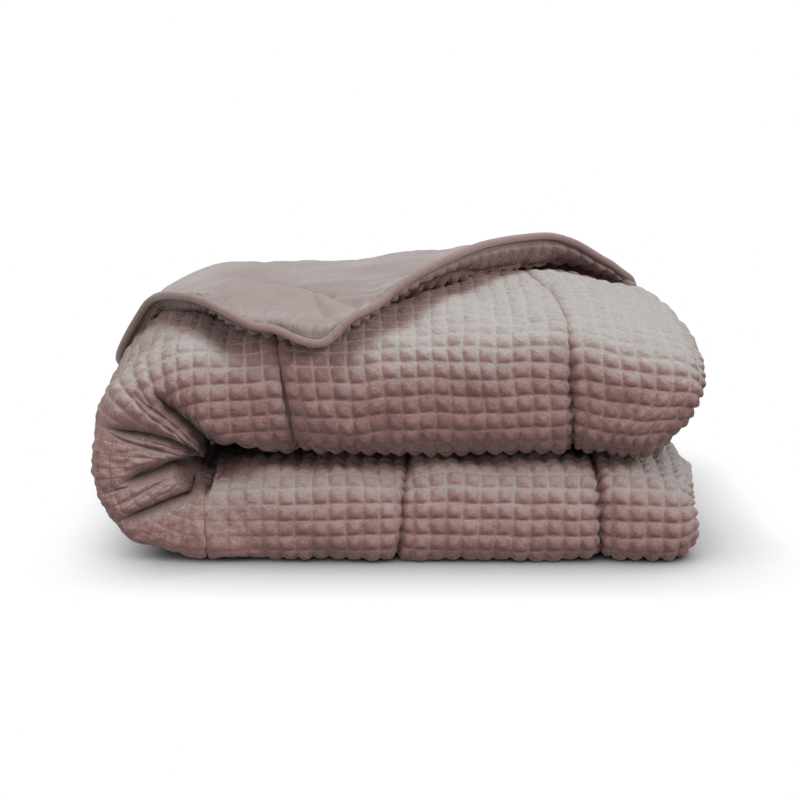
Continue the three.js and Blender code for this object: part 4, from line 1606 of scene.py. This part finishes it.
def surround(strength):
    """White surroundings, brighter above than below, and plain white to the camera."""
    world = bpy.data.worlds.new("white_surround")
    nodes = Nodes(world)
    direction = nodes.node("ShaderNodeTexCoord", {}).outputs["Generated"]
    height = nodes.field("ShaderNodeSeparateXYZ", "Z", {"Vector": direction})
    sockets = {"Value": height, "From Min": -1, "To Min": SURROUND_BELOW * strength, "To Max": strength}
    light = nodes.field("ShaderNodeMapRange", "Result", sockets)
    seen = nodes.field("ShaderNodeLightPath", "Is Camera Ray", {})
    light = nodes.field("ShaderNodeMix", "Result", {"Factor": seen, "A": light, "B": 1.0})
    background = nodes.node("ShaderNodeBackground", {"Color": WHITE, "Strength": light})
    nodes.node("ShaderNodeOutputWorld", {"Surface": background.outputs["Background"]})
    return world


def photo_camera():
    camera = bpy.data.cameras.new("photo_camera")
    camera.lens = CAMERA_LENS
    camera.sensor_width = CAMERA_SENSOR
    holder = bpy.data.objects.new("photo_camera", camera)
    holder.location = CAMERA_PLACE
    holder.rotation_euler = (np.pi / 2 - np.radians(CAMERA_PITCH), 0, 0)
    return holder


class DUVET_OT_add_stage(bpy.types.Operator):
    """Add the floor, the soft studio lights and the camera"""

    bl_idname = "duvet.add_stage"
    bl_label = "Add floor, lights and camera"

    def execute(self, context):
        scene = context.scene
        sizes = scene.stage_sizes
        bpy.ops.object.select_all(action="DESELECT")
        low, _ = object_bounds()
        bpy.ops.mesh.primitive_plane_add(size=FLOOR_SIZE, location=(0, 0, low[2]))
        floor = context.object
        floor.name = "floor"
        floor.data.materials.append(floor_finish(tuple(sizes.floor)))
        floor.visible_diffuse = False
        floor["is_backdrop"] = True
        for name, light in LIGHTS.items():
            add_sun(name, *light, getattr(sizes, name))
        scene.world = surround(sizes.surround)
        scene.camera = photo_camera()
        scene.collection.objects.link(scene.camera)
        scene.view_settings.view_transform = "Standard"
        scene.view_settings.look = "None"
        return {"FINISHED"}


class DUVET_PT_parts(bpy.types.Panel):
    """The duvet's pieces and their sizes"""

    bl_idname = "DUVET_PT_parts"
    bl_label = "Folded duvet"
    bl_space_type = "VIEW_3D"
    bl_region_type = "UI"
    bl_category = "Duvet"

    def draw(self, context):
        for name, operator in (
            ("duvet_sizes", "duvet.add_filled_cloth"),
            ("piping_sizes", "duvet.add_piping"),
            ("stage_sizes", "duvet.add_stage"),
        ):
            sizes = getattr(context.scene, name)
            box = self.layout.box()
            for size in type(sizes).__annotations__:
                box.prop(sizes, size)
            box.operator(operator)


CLASSES = (
    DuvetSizes,
    PipingSizes,
    StageSizes,
    DUVET_OT_add_filled_cloth,
    DUVET_OT_add_piping,
    DUVET_OT_add_stage,
    DUVET_PT_parts,
)


def register():
    for item in CLASSES:
        bpy.utils.register_class(item)
    bpy.types.Scene.duvet_sizes = bpy.props.PointerProperty(type=DuvetSizes)
    bpy.types.Scene.piping_sizes = bpy.props.PointerProperty(type=PipingSizes)
    bpy.types.Scene.stage_sizes = bpy.props.PointerProperty(type=StageSizes)


def unregister():
    del bpy.types.Scene.stage_sizes
    del bpy.types.Scene.piping_sizes
    del bpy.types.Scene.duvet_sizes
    for item in reversed(CLASSES):
        bpy.utils.unregister_class(item)


def main():
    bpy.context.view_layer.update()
    register()
    bpy.ops.duvet.add_filled_cloth()
    bpy.ops.duvet.add_piping()
    bpy.ops.duvet.add_stage()
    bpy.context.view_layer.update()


if __name__ == "__main__":
    main()
